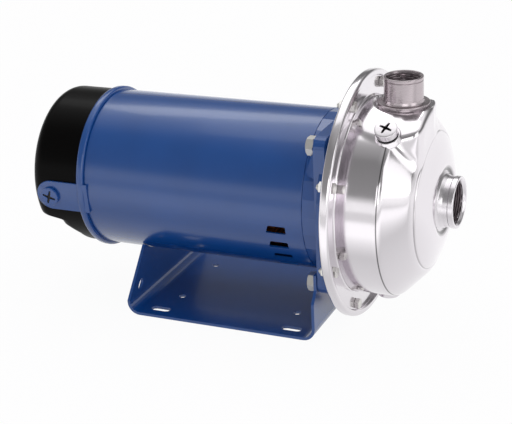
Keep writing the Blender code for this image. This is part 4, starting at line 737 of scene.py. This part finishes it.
class PUMP_OT_plate(Operator):
    """Press the seal plate with its rolled rim, spigot and seal pocket, and weld on its four studs"""

    bl_idname = "pump.plate"
    bl_label = "Seal plate"

    def execute(self, context):
        stuff = finishes(context)["drawn_stainless"]
        sizes = context.scene.pump_sizes
        rim = PLATE_RADIUS
        spigot = sizes.drum_radius - sizes.wall - 0.0003
        corners = [
            (0.0095, rim - 0.0062, 0.0010),
            (0.0095, rim, 0.0030),
            (0.0, rim, 0.0026),
            (0.0, 0.0223, 0.0010),
            (-0.0040, 0.0223, 0.0015),
            (-0.0040, 0.0104, 0.0006),
            (0.0030, 0.0104, 0.0003),
            (0.0030, 0.0153),
            (0.0087, 0.0153, 0.0003),
            (0.0087, 0.0203, 0.0012),
            (0.0030, 0.0223, 0.0015),
            (0.0030, spigot - 0.0025, 0.0008),
            (0.0110, spigot - 0.0025, 0.0006),
            (0.0110, spigot, 0.0006),
            (0.0030, spigot),
            (0.0030, rim - 0.0062, 0.0016),
        ]
        profile = eased_ring(corners)
        profile[:, 0] += PLATE_X
        grids = [(revolve(SHAFT, profile, 320), True)]
        for degrees in (45, 135, 225, 315):
            axis = on_circle(STUD_CIRCLE, degrees)
            rows = eased([
                (0.0008, 0.0),
                (0.0008, 0.0060),
                (-0.0010, 0.0048, 0.001),
                (-0.0325, STUD_RADIUS, 0.0012),
                (-0.0325, 0.0),
            ])
            fine = np.stack([np.linspace(-0.003, -0.0310, 120), np.full(120, STUD_RADIUS)], -1)
            rows = np.concatenate([rows[rows[:, 0] >= -0.002], fine, rows[rows[:, 0] <= -0.0312]])
            swell = spiral(0.00127, -0.0006, -0.0315, -0.0030)
            stud = revolve(axis, rows, 32, lambda h, t: swell(h, t) * (rows[:, 1:2] > 0.0045))
            grids.append((stud, False))
        plate = piece("seal_plate_pressed", grids, stuff, replaces=["seal_plate"])
        holes = []
        for k in range(8):
            axis = on_circle(BOLT_CIRCLE, 22.5 + 45 * k)
            rows = np.array([[-0.01, 0.0], [-0.01, 0.0033], [0.01, 0.0033], [0.01, 0.0]])
            holes.append(piece(f"plate_hole_{k}", [(revolve(axis, rows, 24), False)], stuff))
        cut_away(plate, holes)
        return {"FINISHED"}


def hex_rows(flats, low, high, turn, ease_low=True):
    """Rows of a hexagon from its top's middle down its side: a cone of 30 degrees takes off its corners."""
    side = flats / 2 / np.cos(np.mod(turn, math.pi / 3) - math.pi / 6)
    face = flats / 2 * 0.94
    slope = math.tan(math.radians(30))
    drop = np.maximum(side - face, 0) * slope
    rows = [(high, 0.0), (high, face)]
    for share in (0.5, 1.0):
        reach = face + (side - face) * share
        rows.append((high - np.maximum(reach - face, 0) * slope, reach))
    rows.append((high - drop - flats * 0.004, side))
    if ease_low:
        rows.append((low + drop + flats * 0.004, side))
        rows.append((low + np.maximum((side - face) * 0.5, 0) * slope, face + (side - face) * 0.5))
        rows.append((low, face))
    else:
        rows.append((low + flats * 0.004, side))
        rows.append((low, side - flats * 0.004))
    return rows


def stacked(axis, rows, turn):
    """A grid of points from rows of heights and radii at each turn."""
    heights = np.stack([np.broadcast_to(h, turn.shape) for h, _ in rows])
    radii = np.stack([np.broadcast_to(r, turn.shape) for _, r in rows])
    return axis.points(heights, radii, turn[None, :])


def thread_rows(radius, start, end, pitch, depth, turn, per_pitch=6):
    """Rows down a threaded shank: the radius falls by the thread's depth times its wave."""
    count = max(4, int(abs(end - start) / pitch * per_pitch))
    heights = np.linspace(start, end, count)
    return [(height, radius - depth * thread_wave(height, turn, pitch)) for height in heights]


def bolt_grid(axis, flats, head, shank, length, pitch):
    """A hexagon-headed bolt as one closed grid, its head's underside at height zero."""
    turn = turns(48)
    rows = hex_rows(flats, 0.0, head, turn, False)
    rows.append((0.0, shank))
    rows += thread_rows(shank, -0.0005, -length + 0.0006, pitch, pitch * 0.45, turn)
    rows += [(-length, shank * 0.78), (-length, 0.0)]
    return stacked(axis, rows, turn)


def nut_grid(axis, flats, height, bore, pitch):
    """A hexagon nut as one closed ring of rows: both faces eased, and its bore threaded."""
    turn = turns(48)
    rows = hex_rows(flats, 0.0, height, turn)[1:]
    rows.append((0.0, bore + 0.0006))
    thread = thread_rows(bore, 0.0006, height - 0.0006, pitch, pitch * 0.3, turn)
    rows += [(h, 2 * bore - r) for h, r in thread]
    rows.append((height, bore + 0.0006))
    return stacked(axis, rows, turn)


class PUMP_OT_hardware(Operator):
    """Make the flange's bolts and nuts and the studs' nuts"""

    bl_idname = "pump.hardware"
    bl_label = "Nuts and bolts"

    def nut(self, name, flats, bore, pitch, turned_by, stuff):
        """A nut in the place of a frame node."""
        low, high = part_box(name)
        centre = (low + high) / 2
        axis = Axis((low.x, centre.y, centre.z), (1, 0, 0), (0, math.sin(turned_by), math.cos(turned_by)))
        grid = nut_grid(axis, flats, high.x - low.x, bore, pitch)
        piece(name + "_made", [(grid, True)], stuff, replaces=[name])

    def execute(self, context):
        stuff = finishes(context)["zinc_plate"]
        for k in range(8):
            name = f"casing_bolt_{k + 1}"
            low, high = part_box(name)
            centre = (low + high) / 2
            axis = Axis((high.x - BOLT_HEAD, centre.y, centre.z), (1, 0, 0), (0, 0, 1))
            grid = bolt_grid(axis, BOLT_FLATS, BOLT_HEAD, 0.0030, high.x - low.x - BOLT_HEAD, 0.001)
            piece(name + "_made", [(grid, False)], stuff, replaces=[name])
            self.nut(f"casing_nut_{k + 1}", BOLT_FLATS, 0.0031, 0.001, 0.0, stuff)
        for k in range(4):
            self.nut(f"adapter_nut_{k + 1}", STUD_NUT_FLATS, 0.0050, 0.00127, 0.5, stuff)
        return {"FINISHED"}


def recessed_head(axis, seat, radius, height, edge, shank, length, cross, depth, turned_by=0.0):
    """A round-headed screw with a cross recess, as one closed grid.

    The top's height falls by the recess's depth where a point lies within either bar, eased over a tenth of a
    millimetre or two.
    """
    turn = turns(144)
    reach = np.concatenate([np.linspace(0, cross * 1.15, 26), np.linspace(cross * 1.25, radius - edge, 8)])
    u = reach[:, None] * np.cos(turn + turned_by)
    v = reach[:, None] * np.sin(turn + turned_by)
    width = cross * 0.19
    soft = cross * 0.07

    def bar(a, b):
        taper = width * (1.25 - 0.55 * np.abs(a) / cross)
        return np.clip((taper - np.abs(b)) / soft, 0, 1) * np.clip((cross - np.abs(a)) / soft, 0, 1)

    sunk = np.maximum(bar(u, v), bar(v, u))
    fall = depth * (1 - 0.45 * np.minimum(reach[:, None] / cross, 1)) * sunk
    crown = height - 0.0006 * (reach[:, None] / radius) ** 2
    rows = list(zip(crown - fall, reach))
    shoulder = height - 0.0006
    corners = [(shoulder, radius - edge), (shoulder, radius, edge), (0.0, radius, 0.0002), (0.0, shank)]
    rows += list(eased(corners, 8)[1:])
    rows += thread_rows(shank, -0.0006, -length + 0.0008, 0.0014, 0.0006, turn, 5)
    rows += [(-length, shank * 0.8), (-length, 0.0)]
    return stacked(axis.moved(seat), rows, turn)


class PUMP_OT_plugs(Operator):
    """Make the vent and drain plugs with their washers"""

    bl_idname = "pump.plugs"
    bl_label = "Plugs"

    def execute(self, context):
        stuffs = finishes(context)
        seat = context.scene.pump_sizes.drum_radius + PLUG_SEAT
        under_head, washer_low, washer_high = seat + 0.0021, seat + 0.0003, seat + 0.0018
        ring = eased_ring([
            (washer_high, 0.0061, 0.0002),
            (washer_high, 0.0106, 0.0006),
            (washer_low, 0.0106, 0.0006),
            (washer_low, 0.0061, 0.0002),
        ], 4)

        # faces deep in the cross recess, which get painted shade
        def in_shaded_recess(height, radius):
            return (height < under_head + 0.0063) & (height > seat + 0.0030) & (radius < 0.0068)

        for name, x, degrees, turned_by in PLUGS:
            axis = radial_axis(PLATE_X + x, degrees)
            head = recessed_head(
                axis, under_head, radius=0.0110, height=0.0075, edge=0.0016, shank=0.0057, length=0.0108,
                cross=0.0066, depth=0.0044, turned_by=turned_by,
            )
            node = name + "_plug"
            plug = piece(node + "_turned", [(head, False)], stuffs["plug_stainless"], node, [node])
            shade_chosen_faces(plug, axis, stuffs["painted_recess_shade"], in_shaded_recess)
            washer = [(revolve(axis, ring, 64), True)]
            rubber = stuffs["moulded_nitrile"]
            piece(name + "_washer_moulded", washer, rubber, name + "_washer", [name + "_plug_washer"])
        return {"FINISHED"}


# Motor


class PUMP_OT_motor_tube(Operator):
    """Roll the motor's shell and cut its slots"""

    bl_idname = "pump.motor_tube"
    bl_label = "Motor shell"

    def execute(self, context):
        stuff = finishes(context)["enamel_blue"]
        radius = (SHELL_HIGH.z - SHELL_LOW.z) / 2
        corners = [
            (SHELL_HIGH.x, radius, 0.0006),
            (SHELL_HIGH.x, radius - SHELL_SHEET, 0.0003),
            (SHELL_LOW.x, radius - SHELL_SHEET, 0.0003),
            (SHELL_LOW.x, radius, 0.0006),
        ]
        tube = revolve(SHAFT, eased_ring(corners), 288)
        shell = piece("motor_shell_rolled", [(tube, True)], stuff, replaces=["motor_shell"])
        slots = []
        for side in (1, -1):
            outline = slot_outline(0.020, 0.0085, 0.0012)
            outline[:, 0] += np.where(outline[:, 0] < 0, LOUVRE_SLANT, 0.0) * side * outline[:, 1]
            for degrees in (102.0, 115.5, 129.0, 142.5):
                axis = radial_axis(PLATE_X - 0.062, side * degrees)
                slots.append(prism("louvre_cutter", outline, axis, radius - 0.02, radius + 0.01, stuff))
        cut_away(shell, slots)
        return {"FINISHED"}


class PUMP_OT_rear_end(Operator):
    """Cast the rear end with its rim and the two tabs that hold the cover"""

    bl_idname = "pump.rear_end"
    bl_label = "Rear end"

    def execute(self, context):
        stuff = finishes(context)["enamel_blue"]
        rim_front = SHELL_LOW.x - 0.0003
        rim_rear = rim_front - 0.0083
        outside = eased([
            (rim_front + 0.0100, 0.0802, 0.0004),
            (rim_front, 0.0802),
            (rim_front, 0.0861, 0.0026),
            (rim_rear, 0.0861, 0.0030),
            (rim_rear, 0.0253, 0.0006),
            (rim_rear - 0.0105, 0.0253, 0.0010),
            (rim_rear - 0.0105, 0.0),
        ])
        inside = np.array([
            [rim_rear - 0.0078, 0.0],
            [rim_rear - 0.0078, 0.0203],
            [rim_rear + 0.0080, 0.0203],
            [rim_rear + 0.0080, 0.0253],
            [rim_rear + 0.0050, 0.0253],
            [rim_rear + 0.0050, 0.0762],
            [rim_front + 0.0100, 0.0762],
        ])
        whole = revolve(SHAFT, np.concatenate([inside, outside]), 256)
        piece("rear_endshield_cast", [(whole, False)], stuff, replaces=["rear_endshield"])

        length = TAB_REACH - TAB_HALF_WIDTH
        bend = np.linspace(0, math.pi, 33)[1:-1]
        around = np.concatenate([
            np.stack([np.linspace(0.012, -length, 20), np.full(20, TAB_HALF_WIDTH)], -1),
            np.stack([-length - TAB_HALF_WIDTH * np.sin(bend), TAB_HALF_WIDTH * np.cos(bend)], -1),
            np.stack([np.linspace(-length, 0.012, 20), np.full(20, -TAB_HALF_WIDTH)], -1),
        ])
        middle = np.array([-length / 2, 0.0])
        below, above = 0.0828, 0.0856
        edge = [(0.985, below), (1.0, below + 0.0003), (1.0, above - 0.0004), (0.975, above)]
        sheet = [(0.0, below), (0.5, below), *edge, (0.5, above), (0.0, above)]
        for name, side in (("tab_near", 1), ("tab_far", -1)):
            rows = []
            for share, height in sheet:
                spot = middle + (around - middle) * share
                turn = math.radians(TAB_DEGREES) * side + spot[:, 1] / 0.0842
                rows.append(SHAFT.points(rim_rear + spot[:, 0], height, turn))
            piece(name, [(np.stack(rows), False)], stuff)
        return {"FINISHED"}


class PUMP_OT_cover(Operator):
    """Draw the black rear cover, stepped in below, and its two painted screws"""

    bl_idname = "pump.cover"
    bl_label = "Rear cover"

    def execute(self, context):
        stuffs = finishes(context)
        front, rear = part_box("rear_cover")[1].x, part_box("rear_cover")[0].x
        columns = 360
        turn = turns(columns)
        up, radius = np.cos(turn), 0.0825

        def depth_at(height, wall):
            """How far back the cover reaches at a height: it is drawn in by two slopes below the middle."""
            step = 0.0214 / (1 + np.exp((height + 0.0375) / 0.0011))
            slope = np.clip((-0.047 - height) / 0.013, 0, 1) * 0.0085
            return rear + wall + step + slope

        def skin(wall):
            """Rows from the open front back over the rounded edge to the middle of the rear."""
            rows = []
            edge = COVER_EDGE - wall
            out = radius - wall
            for share in np.linspace(0, 1, 26):
                back = depth_at(out * up, wall) + edge
                rows.append(SHAFT.points(front + (back - front) * share, out, turn))
            for bend in np.linspace(0, math.pi / 2, 14)[1:]:
                r = out - edge * (1 - math.cos(bend))
                back = depth_at(r * up, wall)
                rows.append(SHAFT.points(back + edge * (1 - math.sin(bend)), r, turn))
            for share in np.linspace(1, 0, 44)[1:]:
                r = (out - edge) * share
                rows.append(SHAFT.points(depth_at(r * up, wall), r, turn))
            return np.stack(rows)

        grid = np.concatenate([skin(0.0)[::-1], skin(COVER_SHEET)])
        black = stuffs["enamel_black"]
        piece("rear_cover_drawn", [(grid, False)], black, replaces=["rear_cover"], sharp=60.0)

        # faces deep in the cross recess, which get painted shade
        def in_shaded_recess(height, radius):
            return (height < 0.0890) & (height > 0.0870) & (radius < 0.0076)

        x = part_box("cover_screw_near")[0].x + 0.0102
        for name, side, turned_by in (("cover_screw_near", 1, 0.3), ("cover_screw_far", -1, 0.9)):
            axis = radial_axis(x, side * TAB_DEGREES)
            head = recessed_head(
                axis, 0.0859, radius=0.0102, height=0.0036, edge=0.0010, shank=0.0025, length=0.0090,
                cross=0.0074, depth=0.0016, turned_by=turned_by,
            )
            screw = piece(name + "_made", [(head, False)], stuffs["enamel_blue"], replaces=[name])
            shade_chosen_faces(screw, axis, stuffs["painted_recess_shade"], in_shaded_recess)
        return {"FINISHED"}


class PUMP_OT_inner_parts(Operator):
    """Give every frame piece that stays its finish"""

    bl_idname = "pump.inner_parts"
    bl_label = "Inner parts"

    FINISH = {
        "enamel_blue": ("foot_bracket", "front_endshield"),
        "ground_steel": (
            "motor_shaft",
            "front_bearing_inner",
            "front_bearing_outer",
            "rear_bearing_inner",
            "rear_bearing_outer",
        ),
        "stacked_laminations": ("rotor_core", "stator_core"),
        "varnished_winding": ("winding_front", "winding_rear"),
        "moulded_phenolic": (
            "cooling_fan",
            "switch_governor",
            "stationary_switch",
            "start_capacitor",
            "terminal_board",
        ),
        "moulded_nitrile": ("water_slinger", "casing_o_ring"),
        "lapped_ceramic": ("seal_seat",),
        "lapped_carbon": ("seal_rotary_head",),
        "turned_stainless_x": ("seal_spring", "impeller", "impeller_nut", "wear_ring"),
    }

    def execute(self, context):
        stuffs = finishes(context)
        chosen = {name: finish for finish, names in self.FINISH.items() for name in names}
        for name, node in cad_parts.items():
            node.data.materials.clear()
            node.data.materials.append(stuffs[chosen.get(name, "zinc_plate")])
        return {"FINISHED"}


# Studio


class PUMP_OT_studio(Operator):
    """Lay a pale floor, hang soft lamps and place the camera"""

    bl_idname = "pump.studio"
    bl_label = "Studio"

    def execute(self, context):
        scene = context.scene
        scene.view_settings.view_transform = "Standard"
        pale = (*scene.pump_colours.backdrop, 1.0)
        paper = Finish("floor_paper", 0.9, colour=(0.50, 0.48, 0.53))
        mesh = bpy.data.meshes.new("floor")
        reach = 6.0
        corners = [(-reach, -reach, 0), (reach, -reach, 0), (reach, reach, 0), (-reach, reach, 0)]
        mesh.from_pydata(corners, [], [(0, 1, 2, 3)])
        mesh.materials.append(paper.material)
        floor = bpy.data.objects.new("floor", mesh)
        scene.collection.objects.link(floor)
        tree = paper.tree
        rays = add(tree, "LightPath")
        glow = add(tree, "Emission", {"Color": pale, "Strength": 1.06})
        # For glossy rays only, the floor glows in bands along Y, brightest in a strip on the near side: a
        # painted reflection
        spot = add(tree, "SeparateXYZ", links={"Vector": object_points(tree)})
        ahead = share_between(tree, spot.outputs["Y"], -1.0, 1.0)
        painted_reflection_bands = ramp(tree, ahead, [(0.08, 0.62), (0.20, 1.0), (0.34, 1.0), (0.42, 0.55), (0.56, 0.82)])
        painted_reflection_glow = add(tree, "Emission", {"Strength": 1.45}, {"Color": painted_reflection_bands})
        shone = maths(tree, "MULTIPLY", rays.outputs["Is Glossy Ray"], 0.85)
        seen = maths(tree, "MULTIPLY", rays.outputs["Is Camera Ray"], 0.90)
        mirrored = mix_shaders(tree, shone, paper.shader.outputs["BSDF"], painted_reflection_glow.outputs["Emission"])
        fade = mix_shaders(tree, seen, mirrored, glow.outputs["Emission"])
        tree.links.new(fade, tree.nodes["Material Output"].inputs["Surface"])

        world = bpy.data.worlds.new("studio")
        world.use_nodes = True
        scene.world = world
        tree = world.node_tree
        rays = add(tree, "LightPath")
        way = add(tree, "TexCoord").outputs["Generated"]
        split = add(tree, "SeparateXYZ", links={"Vector": way})
        front = [(0.46, 0.8), (0.50, 1.0), (0.57, 1.0), (0.64, 0.28), (0.90, 0.22), (0.97, 0.4)]
        rear = [(0.46, 0.8), (0.55, 0.7), (0.62, 0.2), (0.72, 0.14), (0.80, 0.35), (0.88, 1.0), (0.97, 0.8)]
        height = share_between(tree, split.outputs["Z"], -1.0, 1.0)
        behind = share_between(tree, split.outputs["Y"], -0.25, 0.25)
        tones = {0: behind, 6: ramp(tree, height, front), 7: ramp(tree, height, rear)}
        halves = add(tree, "Mix", links=tones, data_type="RGBA")
        room = add(tree, "Background", {"Strength": 1.1}, {"Color": halves.outputs[2]})
        plain = tree.nodes["Background"]
        plain.inputs["Color"].default_value = pale
        plain.inputs["Strength"].default_value = 1.0
        mixed = mix_shaders(tree, rays.outputs["Is Camera Ray"], room.outputs[0], plain.outputs[0])
        tree.links.new(mixed, tree.nodes["World Output"].inputs["Surface"])

        for name, place, aim, size, power in (
            ("key", (1.05, -1.9, 0.85), (0.1, 0, 0.13), (1.2, 0.8), 5),
            ("fill", (1.9, -0.5, 0.9), (0.15, 0, 0.12), (1.0, 1.2), 4),
            ("top", (0.0, 0.3, 2.0), (0.0, 0, 0.1), (1.8, 1.2), 4),
            ("back", (-0.7, 1.2, 1.9), (0.0, 0, 0.15), (1.6, 0.6), 5),
        ):
            lamp = bpy.data.lights.new(name, "AREA")
            lamp.shape = "RECTANGLE"
            lamp.size, lamp.size_y = size
            lamp.energy = power
            holder = bpy.data.objects.new(name, lamp)
            scene.collection.objects.link(holder)
            back = np.array(place) - np.array(aim)
            back = back / np.linalg.norm(back)
            right = np.cross((0, 0, 1), back)
            right = right / np.linalg.norm(right)
            set_pose(holder, right, np.cross(back, right), back, place)

        azimuth, elevation, roll = (math.radians(v) for v in (24.52, 22.01, -2.91))
        back = np.array([
            math.sin(azimuth) * math.cos(elevation),
            -math.cos(azimuth) * math.cos(elevation),
            math.sin(elevation),
        ])
        right = np.array([math.cos(azimuth), math.sin(azimuth), 0.0])
        above = np.cross(back, right)
        camera = bpy.data.cameras.new("photo_camera")
        camera.lens = 100.1
        camera.clip_start, camera.clip_end = 0.05, 50.0
        holder = bpy.data.objects.new("photo_camera", camera)
        scene.collection.objects.link(holder)
        across = math.cos(roll) * right + math.sin(roll) * above
        upright = math.cos(roll) * above - math.sin(roll) * right
        set_pose(holder, across, upright, back, (0.58124, -1.26141, 0.65239))
        scene.camera = holder
        return {"FINISHED"}


def set_pose(obj, right, above, back, place):
    """Turns and places a lamp or camera by its three directions."""
    matrix = np.eye(4)
    matrix[:3, 0], matrix[:3, 1], matrix[:3, 2], matrix[:3, 3] = right, above, back, place
    obj.matrix_world = Matrix(matrix.tolist())


STEPS = (
    PUMP_OT_inner_parts,
    PUMP_OT_casing,
    PUMP_OT_ports,
    PUMP_OT_plate,
    PUMP_OT_hardware,
    PUMP_OT_plugs,
    PUMP_OT_motor_tube,
    PUMP_OT_rear_end,
    PUMP_OT_cover,
    PUMP_OT_studio,
)


class PUMP_PT_looks(Panel):
    """Lists the pump's sizes, colours and steps"""

    bl_idname = "PUMP_PT_looks"
    bl_label = "Pump looks"
    bl_space_type = "VIEW_3D"
    bl_region_type = "UI"
    bl_category = "Pump"

    def draw(self, context):
        for group in (context.scene.pump_sizes, context.scene.pump_colours):
            for key in group.__annotations__:
                self.layout.prop(group, key)
        for step in STEPS:
            self.layout.operator(step.bl_idname)


def register():
    for kind in (PumpSizes, PumpColours, *STEPS, PUMP_PT_looks):
        bpy.utils.register_class(kind)
    bpy.types.Scene.pump_sizes = PointerProperty(type=PumpSizes)
    bpy.types.Scene.pump_colours = PointerProperty(type=PumpColours)


def unregister():
    del bpy.types.Scene.pump_colours
    del bpy.types.Scene.pump_sizes
    for kind in (PUMP_PT_looks, *reversed(STEPS), PumpColours, PumpSizes):
        bpy.utils.unregister_class(kind)


def main():
    register()
    for step in STEPS:
        group, action = step.bl_idname.split(".")
        getattr(getattr(bpy.ops, group), action)()


if __name__ == "__main__":
    main()
